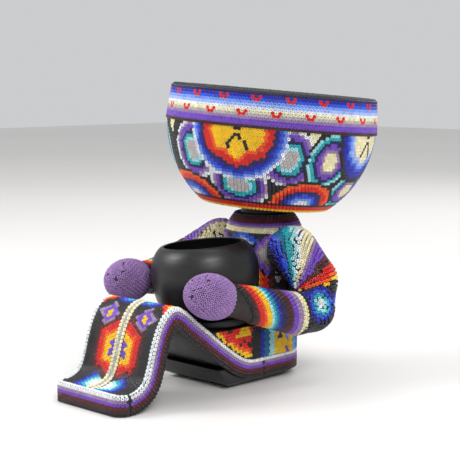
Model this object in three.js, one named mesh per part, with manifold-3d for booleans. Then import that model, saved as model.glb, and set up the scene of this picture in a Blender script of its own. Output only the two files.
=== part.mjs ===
// Beaded figure: a seated black clay figure whose head is an open bowl. It holds a clay pot on its lap.
// Clay pieces carry a thin cladding of glass seed beads set in wax, and each clad field is its own solid.
// Millimetres, +Z up, the figure faces -Y and its left side is +X. The neck's axis is the working origin,
// and the finished group is moved so that the part's origin is the bottom centre of its box.
import * as THREE from "three";
import { mergeVertices } from "three/addons/utils/BufferGeometryUtils.js";
import Module from "manifold-3d";

const wasm = await Module();
wasm.setup();

// ---------------------------------------------------------------- driving sizes
const GAP = 0.3; // between two pieces that touch
const CLAD = 2.2; // wax bed and beads together

// Head bowl, measured down its own axis from the rim
const BOWL_RADIUS = 60; // over the beads at the belly
const BOWL_WAIST_DROP = 17.5; // from the rim down to the widest circle
const BOWL_FOOT_RADIUS = 36.7; // flat underside
const BOWL_WALL = 4.8;
const RIM_RADIUS = 58.9;
const RIM_LIP = 1.2; // bare clay above the rim band
const BAND_HEIGHT = 18.6;
const BAND_PROUD = 0.7; // the band stands out this far over the field below it
const HEAD_TILT = THREE.MathUtils.degToRad(5);
const HEAD_TILT_BEARING = THREE.MathUtils.degToRad(44); // from +X towards +Y

// Neck and torso
const NECK_RADIUS = 13.8;
const NECK_TOP_Z = 97.4; // the underside of the head bowl, on the neck's axis
const COLLAR_TOP_Z = 92.1;
const COLLAR_BOTTOM_Z = 82.2;
const COLLAR_RADIUS = 17.2;
const TORSO_HALF_X = 26.2;
const TORSO_HALF_Y = 16.3;
const TORSO_LEAN = 4; // how far the hips lie in front of the neck

// Hips, lap and legs
const LEG_HALF_WIDTH = 26.8;
const LEG_THICKNESS = 10.5;
const TOE_FRONT_Y = -136;
const TOE_CORNER = 6.5; // rounding of the feet's front corners in plan
const LAP_Z = 33.8;
const LAP_FRONT_Y = -70.5;
const HIP_BACK_Y = 10.5;
const HIP_CORNER = 19.8;
const HIP_EDGE_Z = 14.3; // top of the edge trim along the hips
const STRIP_HALF_WIDTH = 3;
const STRIP_PROUD = 0.4;
const BASE_INSET = 6; // where the clay base meets the table
const BASE_FRONT_Y = -50.3;
const BASE_FLARE_INSET = 1.2; // where its rounded side meets the edge trim
const BASE_FLARE_FRONT_Y = -58;
const BASE_PROW_Y = -63.5; // its foremost edge, under the thighs
const BASE_PROW_Z = 12;

// Pot
const POT_RADIUS = 30.3;
const POT_FOOT_RADIUS = 22.2;
const POT_MOUTH_RADIUS = 21.8;
const POT_HEIGHT = 40.6;
const POT_BELLY_HEIGHT = 24.5;
const POT_WALL = 3;
const POT_TILT = THREE.MathUtils.degToRad(5);
const POT_CLEARANCE = 0.6; // to the chest and the hands
const SEAT_PAD_HEIGHT = 1.8;

// Arms and hands
const SHOULDER_RADIUS = 14;
const ELBOW_RADIUS = 12.2;
const FOREARM_RADIUS = 11.4;
const WRIST_RADIUS = 8.5;
const HAND_RADIUS = 11.7;
const HAND_LENGTH = 30.6;
const HAND_Z = 56;
const HAND_SPARE = 1.2; // more room at the hands, as the forearms turn in
const LEFT_HAND_BEARING = THREE.MathUtils.degToRad(41); // round the pot, from its side towards its front
const RIGHT_HAND_BEARING = THREE.MathUtils.degToRad(32);

// Facets
const BOWL_SEGMENTS = 40;
const POT_SEGMENTS = 30;
const TORSO_SEGMENTS = 28;
const LIMB_SEGMENTS = 14;
const LIMB_ARC_STEPS = 3;
const LEG_STEPS = 30;

// ---------------------------------------------------------------- colours
const CLAY = { color: 0x1d1d1f, roughness: 0.42, metalness: 0 };
const bead = (color) => ({ color, roughness: 0.25, metalness: 0 });

// ---------------------------------------------------------------- solids
const v2 = (x, y) => new THREE.Vector2(x, y);
const v3 = (x, y, z) => new THREE.Vector3(x, y, z);

function solidOf(geometry) {
  const plain = geometry.clone();
  plain.deleteAttribute("normal");
  plain.deleteAttribute("uv");
  const merged = mergeVertices(plain, 1e-4);
  const mesh = new wasm.Mesh({
    numProp: 3,
    vertProperties: new Float32Array(merged.attributes.position.array),
    triVerts: new Uint32Array(merged.index.array),
  });
  return new wasm.Manifold(mesh);
}

function geometryOf(solid) {
  const mesh = solid.getMesh();
  const geometry = new THREE.BufferGeometry();
  const attribute = new THREE.BufferAttribute(mesh.vertProperties, 3);
  geometry.setAttribute("position", attribute);
  geometry.setIndex(new THREE.BufferAttribute(mesh.triVerts, 1));
  return geometry;
}

const joined = (solids) => solids.reduce((a, b) => a.add(b));

// A lathe about Z. The profile's x is the radius and its y the height.
function turned(profile, segments) {
  return new THREE.LatheGeometry(profile, segments).rotateX(Math.PI / 2);
}

function block(x0, x1, y0, y1, z0, z1) {
  const geometry = new THREE.BoxGeometry(x1 - x0, y1 - y0, z1 - z0);
  return geometry.translate((x0 + x1) / 2, (y0 + y1) / 2, (z0 + z1) / 2);
}

function upright(shape, z0, z1) {
  const options = { depth: z1 - z0, bevelEnabled: false, curveSegments: 10 };
  return new THREE.ExtrudeGeometry(shape, options).translate(0, 0, z0);
}

// ---------------------------------------------------------------- head bowl
const footDrop = BOWL_WAIST_DROP + Math.sqrt(BOWL_RADIUS ** 2 - BOWL_FOOT_RADIUS ** 2);
const bandBottom = RIM_LIP + BAND_HEIGHT;

// Points on a sphere about the waist, from one drop below the rim to another.
function bellyArc(radius, fromDrop, toDrop, steps) {
  const angle = (drop) => Math.asin((drop - BOWL_WAIST_DROP) / radius);
  const points = [];
  for (let i = 0; i <= steps; i += 1) {
    const a = THREE.MathUtils.lerp(angle(fromDrop), angle(toDrop), i / steps);
    points.push(v2(radius * Math.cos(a), -BOWL_WAIST_DROP - radius * Math.sin(a)));
  }
  return points;
}

// Bowl pieces are turned with the rim at height 0, then tilted on the neck.
function placedOnNeck(geometry) {
  const axis = v3(-Math.sin(HEAD_TILT_BEARING), Math.cos(HEAD_TILT_BEARING), 0);
  const tilt = new THREE.Matrix4().makeRotationAxis(axis, HEAD_TILT);
  geometry.translate(0, 0, footDrop).applyMatrix4(tilt);
  return geometry.translate(0, 0, NECK_TOP_Z);
}

function headBowl() {
  const outer = BOWL_RADIUS - CLAD - GAP;
  const inner = outer - BOWL_WALL;
  const lip = RIM_RADIUS - CLAD - GAP;
  const bottom = footDrop - CLAD - GAP;
  const floor = bottom - BOWL_WALL;
  const profile = [
    v2(0, -bottom),
    ...bellyArc(outer, BOWL_WAIST_DROP, bottom, 7).reverse(),
    v2(lip, 0),
    v2(lip - BOWL_WALL + 1, 0),
    ...bellyArc(inner, BOWL_WAIST_DROP, floor, 6),
    v2(0, -floor),
  ];
  return turned(profile, BOWL_SEGMENTS);
}

function rimBand() {
  const back = RIM_RADIUS - CLAD;
  const belly = BOWL_RADIUS - CLAD;
  const waist = Math.min(BOWL_WAIST_DROP, bandBottom - 1);
  const profile = [
    v2(back, -RIM_LIP),
    v2(belly, -waist),
    v2(belly, -bandBottom),
    v2(BOWL_RADIUS + BAND_PROUD, -bandBottom),
    v2(RIM_RADIUS, -RIM_LIP),
    v2(back, -RIM_LIP),
  ];
  return turned(profile, BOWL_SEGMENTS);
}

function bowlField() {
  const top = bandBottom + GAP;
  const bottom = footDrop - CLAD - GAP;
  const outer = bellyArc(BOWL_RADIUS, top, bottom, 6);
  const inner = bellyArc(BOWL_RADIUS - CLAD, top, bottom, 6);
  return turned([...inner, ...outer.reverse(), inner[0]], BOWL_SEGMENTS);
}

function bowlFootRing() {
  const inside = NECK_RADIUS + 1.2;
  const profile = [
    v2(inside, -footDrop),
    v2(BOWL_FOOT_RADIUS, -footDrop),
    v2(BOWL_FOOT_RADIUS, -footDrop + CLAD),
    v2(inside, -footDrop + CLAD),
    v2(inside, -footDrop),
  ];
  return turned(profile, BOWL_SEGMENTS);
}

// ---------------------------------------------------------------- torso
// Heights with the half-widths there. y is the middle's place in front of the neck's axis.
const torsoSections = [
  { z: LAP_Z, y: -TORSO_LEAN, halfX: TORSO_HALF_X, halfY: TORSO_HALF_Y - 2 },
  { z: 46.6, y: -TORSO_LEAN + 1.2, halfX: TORSO_HALF_X, halfY: TORSO_HALF_Y - 1.2 },
  { z: 61.2, y: -TORSO_LEAN + 2.3, halfX: TORSO_HALF_X, halfY: TORSO_HALF_Y },
  { z: 72.9, y: -1.2, halfX: TORSO_HALF_X + 0.6, halfY: TORSO_HALF_Y + 0.6 },
  { z: 79.9, y: -0.6, halfX: TORSO_HALF_X, halfY: TORSO_HALF_Y + 1.5 },
  { z: 85.1, y: 0, halfX: TORSO_HALF_X - 2.9, halfY: TORSO_HALF_Y + 1.5 },
  { z: 88.6, y: 0, halfX: COLLAR_RADIUS + 2.9, halfY: COLLAR_RADIUS + 1.2 },
  { z: COLLAR_TOP_Z, y: 0, halfX: COLLAR_RADIUS, halfY: COLLAR_RADIUS },
];

// A cylinder whose rings are moved to the sections, grown by offset all round.
function torsoShape(offset, topCut, extend = 0) {
  const rings = torsoSections.map((s) => ({ ...s }));
  rings[rings.length - 1].z -= topCut;
  rings[0].z -= extend;
  const high = rings.length - 1;
  const geometry = new THREE.CylinderGeometry(1, 1, high, TORSO_SEGMENTS, high);
  geometry.rotateX(Math.PI / 2);
  const at = geometry.attributes.position;
  for (let i = 0; i < at.count; i += 1) {
    const ring = rings[Math.round(at.getZ(i) + high / 2)];
    const x = at.getX(i) * (ring.halfX + offset);
    const y = at.getY(i) * (ring.halfY + offset) + ring.y;
    at.setXYZ(i, x, y, ring.z);
  }
  return solidOf(geometry);
}

function neck() {
  const bottom = COLLAR_TOP_Z - CLAD + GAP;
  const high = NECK_TOP_Z + BOWL_FOOT_RADIUS;
  const profile = [
    v2(0, bottom),
    v2(NECK_RADIUS, bottom),
    v2(NECK_RADIUS, high),
    v2(0, high),
  ];
  const post = solidOf(turned(profile, TORSO_SEGMENTS));
  const wide = 4 * BOWL_RADIUS;
  const above = block(-wide, wide, -wide, wide, -footDrop + CLAD, wide);
  return post.subtract(solidOf(placedOnNeck(above)));
}

// ---------------------------------------------------------------- legs
// The legs' top line from the toes over the knees to the hips, as y and z.
const legLine = new THREE.CatmullRomCurve3(
  [
    [TOE_FRONT_Y, LEG_THICKNESS + 0.1],
    [-126.5, 10.8],
    [-119.5, 14.3],
    [-115.7, 22.2],
    [-112.8, 32.1],
    [-109, 41.4],
    [-103.8, 48.4],
    [-96.8, 51.3],
    [-89.8, 48.4],
    [-82.2, 42.3],
    [-71.1, 34],
    [-58.3, 24.4],
    [-46.6, 16.9],
    [-39.6, 14.6],
    [-33.8, HIP_EDGE_Z],
    [-29.2, HIP_EDGE_Z],
  ].map(([y, z]) => v3(0, y, z)),
  false,
  "centripetal",
);
const legLength = legLine.getLength();

// Bends a geometry laid along Z so that its z runs along the leg line, its y stands up from it
// and its x points to the figure's right.
function laidOnLegs(geometry) {
  const at = geometry.attributes.position;
  for (let i = 0; i < at.count; i += 1) {
    const along = at.getZ(i);
    const u = THREE.MathUtils.clamp(along / legLength, 0, 1);
    const beyond = along - u * legLength;
    const tangent = legLine.getTangentAt(u);
    const up = v3(0, -tangent.z, tangent.y);
    const place = legLine.getPointAt(u);
    place.addScaledVector(tangent, beyond).addScaledVector(up, at.getY(i));
    at.setXYZ(i, -at.getX(i), place.y, place.z);
  }
  return geometry;
}

function legPiece(x0, x1, low, high, from, to) {
  const steps = Math.max(1, Math.round((LEG_STEPS * (to - from)) / legLength));
  const geometry = new THREE.BoxGeometry(x1 - x0, high - low, to - from, 1, 1, steps);
  geometry.translate(-(x0 + x1) / 2, (low + high) / 2, (from + to) / 2);
  return solidOf(laidOnLegs(geometry));
}

// Plan outline of the feet: square at the back, with rounded corners at the toes.
function toePlan(inset) {
  const half = LEG_HALF_WIDTH - inset;
  const front = TOE_FRONT_Y + inset;
  const corner = TOE_CORNER - inset;
  const shape = new THREE.Shape();
  shape.moveTo(half, 0);
  shape.lineTo(-half, 0);
  shape.lineTo(-half, front + corner);
  shape.absarc(-half + corner, front + corner, corner, Math.PI, 1.5 * Math.PI, false);
  shape.absarc(half - corner, front + corner, corner, 1.5 * Math.PI, 2 * Math.PI, false);
  shape.closePath();
  return shape;
}

const insideToes = (inset) => solidOf(upright(toePlan(inset), -1, 2 * LAP_Z));

const legStart = CLAD + GAP;
const legEndY = legLine.getPointAt(1).y;
const panelEdge = LEG_HALF_WIDTH - CLAD - GAP;

function legSlab() {
  const slab = legPiece(-panelEdge, panelEdge, -LEG_THICKNESS, -legStart, legStart, legLength);
  return slab.intersect(insideToes(legStart));
}

function legPanel(side) {
  const inner = STRIP_HALF_WIDTH + GAP;
  const x = [side * inner, side * panelEdge].sort((a, b) => a - b);
  const panel = legPiece(x[0], x[1], -CLAD, 0, legStart, legLength);
  return panel.intersect(insideToes(legStart)).subtract(lapCutter());
}

function centreStrip() {
  const half = STRIP_HALF_WIDTH;
  const strip = legPiece(-half, half, -CLAD, STRIP_PROUD, legStart, legLength);
  return strip.subtract(lapCutter());
}

function edgeTrim(side) {
  const x = [side * (LEG_HALF_WIDTH - CLAD), side * LEG_HALF_WIDTH].sort((a, b) => a - b);
  return legPiece(x[0], x[1], -LEG_THICKNESS, 0, TOE_CORNER + GAP, legLength);
}

// The trim across the toes and round both their corners.
function toeTrim() {
  const half = LEG_HALF_WIDTH;
  const whole = legPiece(-half, half, -LEG_THICKNESS, 0, 0, TOE_CORNER);
  return whole.intersect(insideToes(0)).subtract(insideToes(CLAD));
}

// ---------------------------------------------------------------- hips and base
// Plan outline of the hips: straight sides, a square front and a round back.
function hipOutline(inset, frontY) {
  const half = LEG_HALF_WIDTH - inset;
  const back = HIP_BACK_Y - inset;
  const corner = HIP_CORNER - inset;
  const shape = new THREE.Shape();
  shape.moveTo(-half, frontY);
  shape.lineTo(half, frontY);
  shape.lineTo(half, back - corner);
  shape.absarc(half - corner, back - corner, corner, 0, Math.PI / 2, false);
  shape.absarc(-half + corner, back - corner, corner, Math.PI / 2, Math.PI, false);
  shape.closePath();
  return shape;
}

const hipBottom = HIP_EDGE_Z - LEG_THICKNESS;

// The leg line moved out by offset, as y and z, from a first place along it to its end.
function offsetLine(offset, fromY) {
  const points = [];
  for (let i = 0; i <= LEG_STEPS; i += 1) {
    const u = i / LEG_STEPS;
    const tangent = legLine.getTangentAt(u);
    const place = legLine.getPointAt(u);
    const y = place.y - tangent.z * offset;
    if (y > fromY) points.push(v2(y, place.z + tangent.y * offset));
  }
  const last = points[points.length - 1];
  points.push(v2(legEndY + GAP, last.y));
  return points;
}

// Everything under or over the offset leg line, out to a far height, right across the figure.
function cutAlongLegs(offset, fromY, farZ) {
  const line = offsetLine(offset, fromY);
  const shape = new THREE.Shape([
    ...line,
    v2(line[line.length - 1].x, farZ),
    v2(line[0].x, farZ),
  ]);
  const wide = 3 * LEG_HALF_WIDTH;
  const geometry = upright(shape, -wide, wide);
  const turn = new THREE.Matrix4().makeBasis(v3(0, 1, 0), v3(0, 0, 1), v3(1, 0, 0));
  return solidOf(geometry.applyMatrix4(turn));
}

// The lap covers the legs' panels behind its front edge.
function lapCutter() {
  const wide = 2 * LEG_HALF_WIDTH;
  return solidOf(block(-wide, wide, LAP_FRONT_Y - GAP, 0, 0, 2 * LAP_Z));
}

function hipCore() {
  const plan = hipOutline(CLAD + GAP, LAP_FRONT_Y);
  const whole = solidOf(upright(plan, hipBottom, LAP_Z));
  return whole.subtract(cutAlongLegs(-CLAD, LAP_FRONT_Y - 2 * LEG_THICKNESS, -LAP_Z));
}

function hipWall() {
  const front = LAP_FRONT_Y;
  const outer = solidOf(upright(hipOutline(0, front), HIP_EDGE_Z + GAP, LAP_Z));
  const inner = solidOf(upright(hipOutline(CLAD, front - 1), 0, LAP_Z + 1));
  return outer.subtract(inner).subtract(cutAlongLegs(GAP, front - LEG_THICKNESS, -LAP_Z));
}

function hipTrim() {
  const front = legEndY + GAP;
  const outer = solidOf(upright(hipOutline(0, front), hipBottom, HIP_EDGE_Z));
  const inner = solidOf(upright(hipOutline(CLAD, front - 1), 0, LAP_Z));
  return outer.subtract(inner);
}

// The base spreads from the table up to the edge trim, and runs forward as a prow under the thighs.
function baseFoot() {
  const top = hipBottom - GAP;
  const foot = solidOf(upright(hipOutline(BASE_INSET, BASE_FRONT_Y), 0, GAP));
  const side = hipOutline(BASE_FLARE_INSET, BASE_FLARE_FRONT_Y);
  const flare = solidOf(upright(side, top - GAP, BASE_PROW_Z));
  const prow = solidOf(
    upright(hipOutline(BASE_FLARE_INSET, BASE_PROW_Y), BASE_PROW_Z - GAP, BASE_PROW_Z),
  );
  const whole = wasm.Manifold.hull([foot, flare, prow]);
  const hips = block(-60, 60, legEndY, 60, top, 60);
  const legs = cutAlongLegs(-LEG_THICKNESS - GAP, BASE_PROW_Y - 2 * LEG_THICKNESS, 2 * LAP_Z);
  return whole.subtract(legs).subtract(solidOf(hips));
}

// ---------------------------------------------------------------- pot
const chestFront = -TORSO_LEAN + 2.3 - TORSO_HALF_Y;
const potY = chestFront - POT_CLEARANCE - POT_RADIUS;
const potBottom = LAP_Z + SEAT_PAD_HEIGHT + GAP + POT_FOOT_RADIUS * Math.sin(POT_TILT);

// The pot leans about the middle of its belly, towards the figure's right foot.
function placedOnLap(geometry) {
  const axis = v3(Math.sin(HEAD_TILT_BEARING), -Math.cos(HEAD_TILT_BEARING), 0);
  const tilt = new THREE.Matrix4().makeRotationAxis(axis, POT_TILT);
  geometry.translate(0, 0, -POT_BELLY_HEIGHT).applyMatrix4(tilt);
  return geometry.translate(0, potY, potBottom + POT_BELLY_HEIGHT);
}

const potFootShift = POT_BELLY_HEIGHT * Math.sin(POT_TILT);
const potFootX = potFootShift * Math.cos(HEAD_TILT_BEARING);
const potFootY = potY + potFootShift * Math.sin(HEAD_TILT_BEARING);

// A side line through the foot, the belly and the mouth, pulled in by inset.
function potSide(inset, fromZ, toZ, steps) {
  const belly = POT_BELLY_HEIGHT;
  const points = [];
  for (let i = 0; i <= steps; i += 1) {
    const z = THREE.MathUtils.lerp(fromZ, toZ, i / steps);
    const below = z < belly;
    const reach = below ? belly : POT_HEIGHT - belly;
    const end = below ? POT_FOOT_RADIUS : POT_MOUTH_RADIUS + POT_WALL / 2;
    const t = Math.min(Math.abs(z - belly) / reach, 1);
    const bulge = below ? Math.sqrt(1 - 0.86 * t * t) : Math.sqrt(1 - 0.9 * t * t);
    const floor = below ? Math.sqrt(1 - 0.86) : Math.sqrt(1 - 0.9);
    const share = (bulge - floor) / (1 - floor);
    points.push(v2(end + (POT_RADIUS - end) * share - inset, z));
  }
  return points;
}

function pot() {
  const profile = [
    v2(0, 0),
    ...potSide(0, 0, POT_HEIGHT, 9),
    v2(POT_MOUTH_RADIUS, POT_HEIGHT),
    ...potSide(POT_WALL, POT_WALL, POT_HEIGHT - POT_WALL, 6).reverse(),
    v2(0, POT_WALL),
  ];
  return placedOnLap(turned(profile, POT_SEGMENTS));
}

function potSeat() {
  const radius = POT_FOOT_RADIUS - 1.2;
  const low = LAP_Z + GAP;
  const high = potBottom + POT_FOOT_RADIUS;
  const profile = [v2(0, low), v2(radius + 1.8, low), v2(radius, high), v2(0, high)];
  const pad = solidOf(turned(profile, POT_SEGMENTS).translate(potFootX, potFootY, 0));
  const wide = 3 * POT_RADIUS;
  const above = placedOnLap(block(-wide, wide, -wide, wide, -GAP, wide));
  return pad.subtract(solidOf(above)).subtract(torsoShape(GAP, 0, 1));
}

// ---------------------------------------------------------------- arms
// A tapered capsule between two balls, as a lathe turned to lie between them.
function capsule(a, b, offset) {
  const ra = a.r + offset;
  const rb = b.r + offset;
  const line = b.at.clone().sub(a.at);
  const length = line.length();
  const slope = Math.asin((ra - rb) / length);
  const profile = [];
  for (let i = 0; i <= LIMB_ARC_STEPS; i += 1) {
    const t = THREE.MathUtils.lerp(-Math.PI / 2, slope, i / LIMB_ARC_STEPS);
    profile.push(v2(i ? ra * Math.cos(t) : 0, ra * Math.sin(t)));
  }
  for (let i = 0; i <= LIMB_ARC_STEPS; i += 1) {
    const t = THREE.MathUtils.lerp(slope, Math.PI / 2, i / LIMB_ARC_STEPS);
    profile.push(v2(i < LIMB_ARC_STEPS ? rb * Math.cos(t) : 0, length + rb * Math.sin(t)));
  }
  const geometry = new THREE.LatheGeometry(profile, LIMB_SEGMENTS);
  const turn = new THREE.Quaternion().setFromUnitVectors(v3(0, 1, 0), line.normalize());
  return solidOf(geometry.applyQuaternion(turn).translate(a.at.x, a.at.y, a.at.z));
}

const ball = (x, y, z, r) => ({ at: v3(x, y, z), r });

// Where a hand lies round the pot. Its egg lies aslant to the pot, so its half size towards it varies.
function handPlace(side, bearing) {
  const across = HAND_RADIUS * Math.cos(bearing);
  const along = (HAND_LENGTH / 2) * Math.sin(bearing);
  const reach = POT_RADIUS + Math.hypot(across, along) + POT_CLEARANCE + HAND_SPARE;
  return v3(side * reach * Math.cos(bearing), potY - reach * Math.sin(bearing), HAND_Z);
}

// An arm's balls from the shoulder to the wrist. The last two are the forearm's ends.
function armBalls(side, bearing, elbow, forearm) {
  const hand = handPlace(side, bearing);
  const back = forearm.at.clone().sub(hand).normalize();
  const toWrist = (HAND_LENGTH / 2) * Math.sqrt(1 - (WRIST_RADIUS / HAND_RADIUS) ** 2);
  const wrist = hand.clone().addScaledVector(back, toWrist);
  return {
    chain: [ball(side * (TORSO_HALF_X + 2.3), -7, 72.3, SHOULDER_RADIUS), ...elbow, forearm],
    forearm,
    wrist: { at: wrist, r: WRIST_RADIUS },
    hand,
    back,
  };
}

// The forearms pass clear of the pot's sides, however it leans.
const forearmX = POT_RADIUS + FOREARM_RADIUS + 2 * POT_CLEARANCE + potFootX / 2;
const leftArm = armBalls(
  1,
  LEFT_HAND_BEARING,
  [ball(forearmX - 1.7, -4.7, 57.1, 12.8), ball(forearmX, -8.2, 41.4, ELBOW_RADIUS)],
  ball(forearmX, -21, 40.2, FOREARM_RADIUS),
);
const rightArm = armBalls(
  -1,
  RIGHT_HAND_BEARING,
  [ball(-forearmX + 0.6, -21, 60.6, 12.8)],
  ball(-forearmX, -36, 54.8, FOREARM_RADIUS),
);

function sleeveShape(arm, offset) {
  const parts = [];
  for (let i = 1; i < arm.chain.length; i += 1) {
    parts.push(capsule(arm.chain[i - 1], arm.chain[i], offset));
  }
  return joined(parts);
}

const forearmShape = (arm, offset) => capsule(arm.forearm, arm.wrist, offset);

// An egg about the hand's middle with its long axis along the forearm.
function handShape(arm, offset) {
  const geometry = new THREE.SphereGeometry(1, LIMB_SEGMENTS, 8);
  const across = HAND_RADIUS + offset;
  geometry.scale(across, HAND_LENGTH / 2 + offset, across);
  const turn = new THREE.Quaternion().setFromUnitVectors(v3(0, 1, 0), arm.back);
  return solidOf(geometry.applyQuaternion(turn).translate(arm.hand.x, arm.hand.y, arm.hand.z));
}

// The half space on the shoulder side of a plane across the forearm.
function shoulderSide(arm, place, shift) {
  const wide = 250;
  const geometry = block(-wide, wide, 0, 2 * wide, -wide, wide);
  const turn = new THREE.Quaternion().setFromUnitVectors(v3(0, 1, 0), arm.back);
  const at = place.clone().addScaledVector(arm.back, shift);
  return solidOf(geometry.applyQuaternion(turn).translate(at.x, at.y, at.z));
}

function armCore(arm) {
  const inset = -CLAD - GAP;
  const shapes = [sleeveShape(arm, inset), forearmShape(arm, inset), handShape(arm, inset)];
  return joined(shapes).subtract(torsoShape(-CLAD, 0, 1));
}

function sleeve(arm) {
  const inside = sleeveShape(arm, -CLAD).add(forearmShape(arm, -CLAD));
  const skin = sleeveShape(arm, 0).subtract(inside);
  const beyond = forearmShape(arm, 0.6).subtract(shoulderSide(arm, arm.forearm.at, GAP));
  return skin.subtract(beyond).subtract(torsoShape(GAP, 0, 1));
}

function forearm(arm) {
  const inside = sleeveShape(arm, -CLAD).add(forearmShape(arm, -CLAD));
  const skin = forearmShape(arm, 0).subtract(inside.add(handShape(arm, -CLAD)));
  const kept = skin.subtract(shoulderSide(arm, arm.forearm.at, 0));
  return kept.intersect(shoulderSide(arm, arm.wrist.at, GAP));
}

function hand(arm) {
  const inside = handShape(arm, -CLAD).add(forearmShape(arm, -CLAD));
  return handShape(arm, 0).subtract(inside).subtract(shoulderSide(arm, arm.wrist.at, 0));
}

const armsOuter = () =>
  joined([leftArm, rightArm].map((arm) => sleeveShape(arm, GAP).add(forearmShape(arm, GAP))));

const torsoCore = () => torsoShape(-CLAD - GAP, CLAD, -GAP);

function torsoSkin() {
  const outer = torsoShape(0, 0, -GAP);
  const hollow = torsoShape(-CLAD, 0, 3);
  const low = COLLAR_TOP_Z - 2 * CLAD;
  const high = COLLAR_TOP_Z + CLAD;
  const radius = NECK_RADIUS + GAP;
  const profile = [v2(0, low), v2(radius, low), v2(radius, high), v2(0, high)];
  const bore = solidOf(turned(profile, TORSO_SEGMENTS));
  return outer.subtract(hollow).subtract(bore).subtract(armsOuter());
}

const aboveCollar = (z) => solidOf(block(-100, 100, -100, 100, z, 200));
const collar = () => torsoSkin().intersect(aboveCollar(COLLAR_BOTTOM_Z + GAP));
const shirt = () => torsoSkin().subtract(aboveCollar(COLLAR_BOTTOM_Z));

// ---------------------------------------------------------------- assembly
const figure = new THREE.Group();

function place(name, shape, look) {
  const geometry = shape.isBufferGeometry ? shape : geometryOf(shape);
  const mesh = new THREE.Mesh(geometry, new THREE.MeshStandardMaterial(look));
  mesh.name = name;
  figure.add(mesh);
}

place("head_bowl", placedOnNeck(headBowl()), CLAY);
place("rim_band_beads", placedOnNeck(rimBand()), bead(0x2a49c8));
place("bowl_field_beads", placedOnNeck(bowlField()), bead(0x7d54c4));
place("bowl_foot_beads", placedOnNeck(bowlFootRing()), bead(0xc03018));
place("neck", neck(), CLAY);
place("torso", torsoCore(), CLAY);
place("collar_beads", collar(), bead(0x5a1a20));
place("shirt_beads", shirt(), bead(0x9a9aa0));
place("hips", hipCore(), CLAY);
place("hip_beads", hipWall(), bead(0xe0b010));
place("hip_edge_beads", hipTrim(), bead(0x5a1a20));
place("seat_base", baseFoot(), CLAY);
place("leg_slab", legSlab(), CLAY);
place("left_leg_beads", legPanel(1), bead(0xd84018));
place("right_leg_beads", legPanel(-1), bead(0xd84018));
place("centre_strip_beads", centreStrip(), bead(0xd8d4b8));
place("left_edge_beads", edgeTrim(1), bead(0x8a5cc8));
place("right_edge_beads", edgeTrim(-1), bead(0x8a5cc8));
place("toe_edge_beads", toeTrim(), bead(0x8a5cc8));
place("left_arm", armCore(leftArm), CLAY);
place("right_arm", armCore(rightArm), CLAY);
place("left_sleeve_beads", sleeve(leftArm), bead(0x1878c0));
place("right_sleeve_beads", sleeve(rightArm), bead(0x1878c0));
place("left_forearm_beads", forearm(leftArm), bead(0xe06818));
place("right_forearm_beads", forearm(rightArm), bead(0xe06818));
place("left_hand_beads", hand(leftArm), bead(0x9a7cae));
place("right_hand_beads", hand(rightArm), bead(0x9a7cae));
place("pot", pot(), CLAY);
place("pot_seat", potSeat(), CLAY);

const box = new THREE.Box3().setFromObject(figure);
const middle = box.getCenter(new THREE.Vector3());
figure.position.set(-middle.x, -middle.y, -box.min.z);

const group = new THREE.Group();
group.add(figure);

export default group;
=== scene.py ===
"""Beaded figure: the looks of a seated clay figure clad in glass seed beads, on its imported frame.

Shapes are worked out in millimetres from the neck's axis, as in the part's source: +Z up, the figure
faces -Y and its left side is +X. They are moved to the row frame, in metres, as each mesh is made.
"""

import math

import bmesh
import bpy
import numpy as np
from bpy.props import FloatProperty, FloatVectorProperty, IntProperty, PointerProperty
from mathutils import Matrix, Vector, kdtree


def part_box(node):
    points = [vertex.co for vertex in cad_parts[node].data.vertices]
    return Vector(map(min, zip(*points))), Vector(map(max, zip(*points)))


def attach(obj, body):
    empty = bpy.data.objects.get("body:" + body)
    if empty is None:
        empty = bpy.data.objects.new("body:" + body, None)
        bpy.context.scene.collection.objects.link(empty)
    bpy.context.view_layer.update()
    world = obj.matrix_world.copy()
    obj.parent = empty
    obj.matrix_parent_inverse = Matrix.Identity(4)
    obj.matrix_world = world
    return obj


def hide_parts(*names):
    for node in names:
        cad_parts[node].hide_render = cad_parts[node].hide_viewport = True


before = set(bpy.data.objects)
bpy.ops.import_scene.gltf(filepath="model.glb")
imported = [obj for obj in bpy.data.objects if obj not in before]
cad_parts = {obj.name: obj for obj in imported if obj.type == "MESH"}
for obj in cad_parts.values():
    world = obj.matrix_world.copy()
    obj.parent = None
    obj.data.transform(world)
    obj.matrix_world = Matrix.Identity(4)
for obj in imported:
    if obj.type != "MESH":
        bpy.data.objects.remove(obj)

bl_info = {
    "name": "Beaded figure",
    "version": (1, 0, 0),
    "blender": (4, 5, 0),
    "location": "View3D > Sidebar > Beaded figure",
    "description": "Builds the beads, the wax and the burnished clay of a seated beaded figure",
    "category": "Object",
}

# ---------------------------------------------------------------- sizes, in mm
MM = 0.001
CLAD = 2.2
SINK = 0.3  # beads are pressed this far into the wax

BOWL_RADIUS = 60.0
WAIST_DROP = 17.5
BOWL_FOOT = 36.7
BOWL_WALL = 4.8
RIM_RADIUS = 58.9
RIM_LIP = 1.2
BAND_BOTTOM = RIM_LIP + 18.6
BAND_PROUD = 0.7
WAIST_PROUD = 0.62
FOOT_DROP = WAIST_DROP + math.sqrt(BOWL_RADIUS**2 - BOWL_FOOT**2)
HEAD_TILT = math.radians(5)
TILT_BEARING = math.radians(44)
NECK_TOP = 97.4
NECK_RADIUS = 13.8

COLLAR_TOP = 92.1
COLLAR_RADIUS = 17.2
TORSO_HALF_X = 26.2
TORSO_HALF_Y = 16.3
TORSO_LEAN = 4.0

LEG_HALF = 26.8
LEG_THICK = 10.5
TOE_FRONT = -136.0
TOE_CORNER = 6.5
LAP_Z = 33.8
LAP_FRONT = -70.5
HIP_BACK = 10.5
HIP_CORNER = 19.8
HIP_EDGE = 14.3
STRIP_HALF = 3.0

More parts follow.
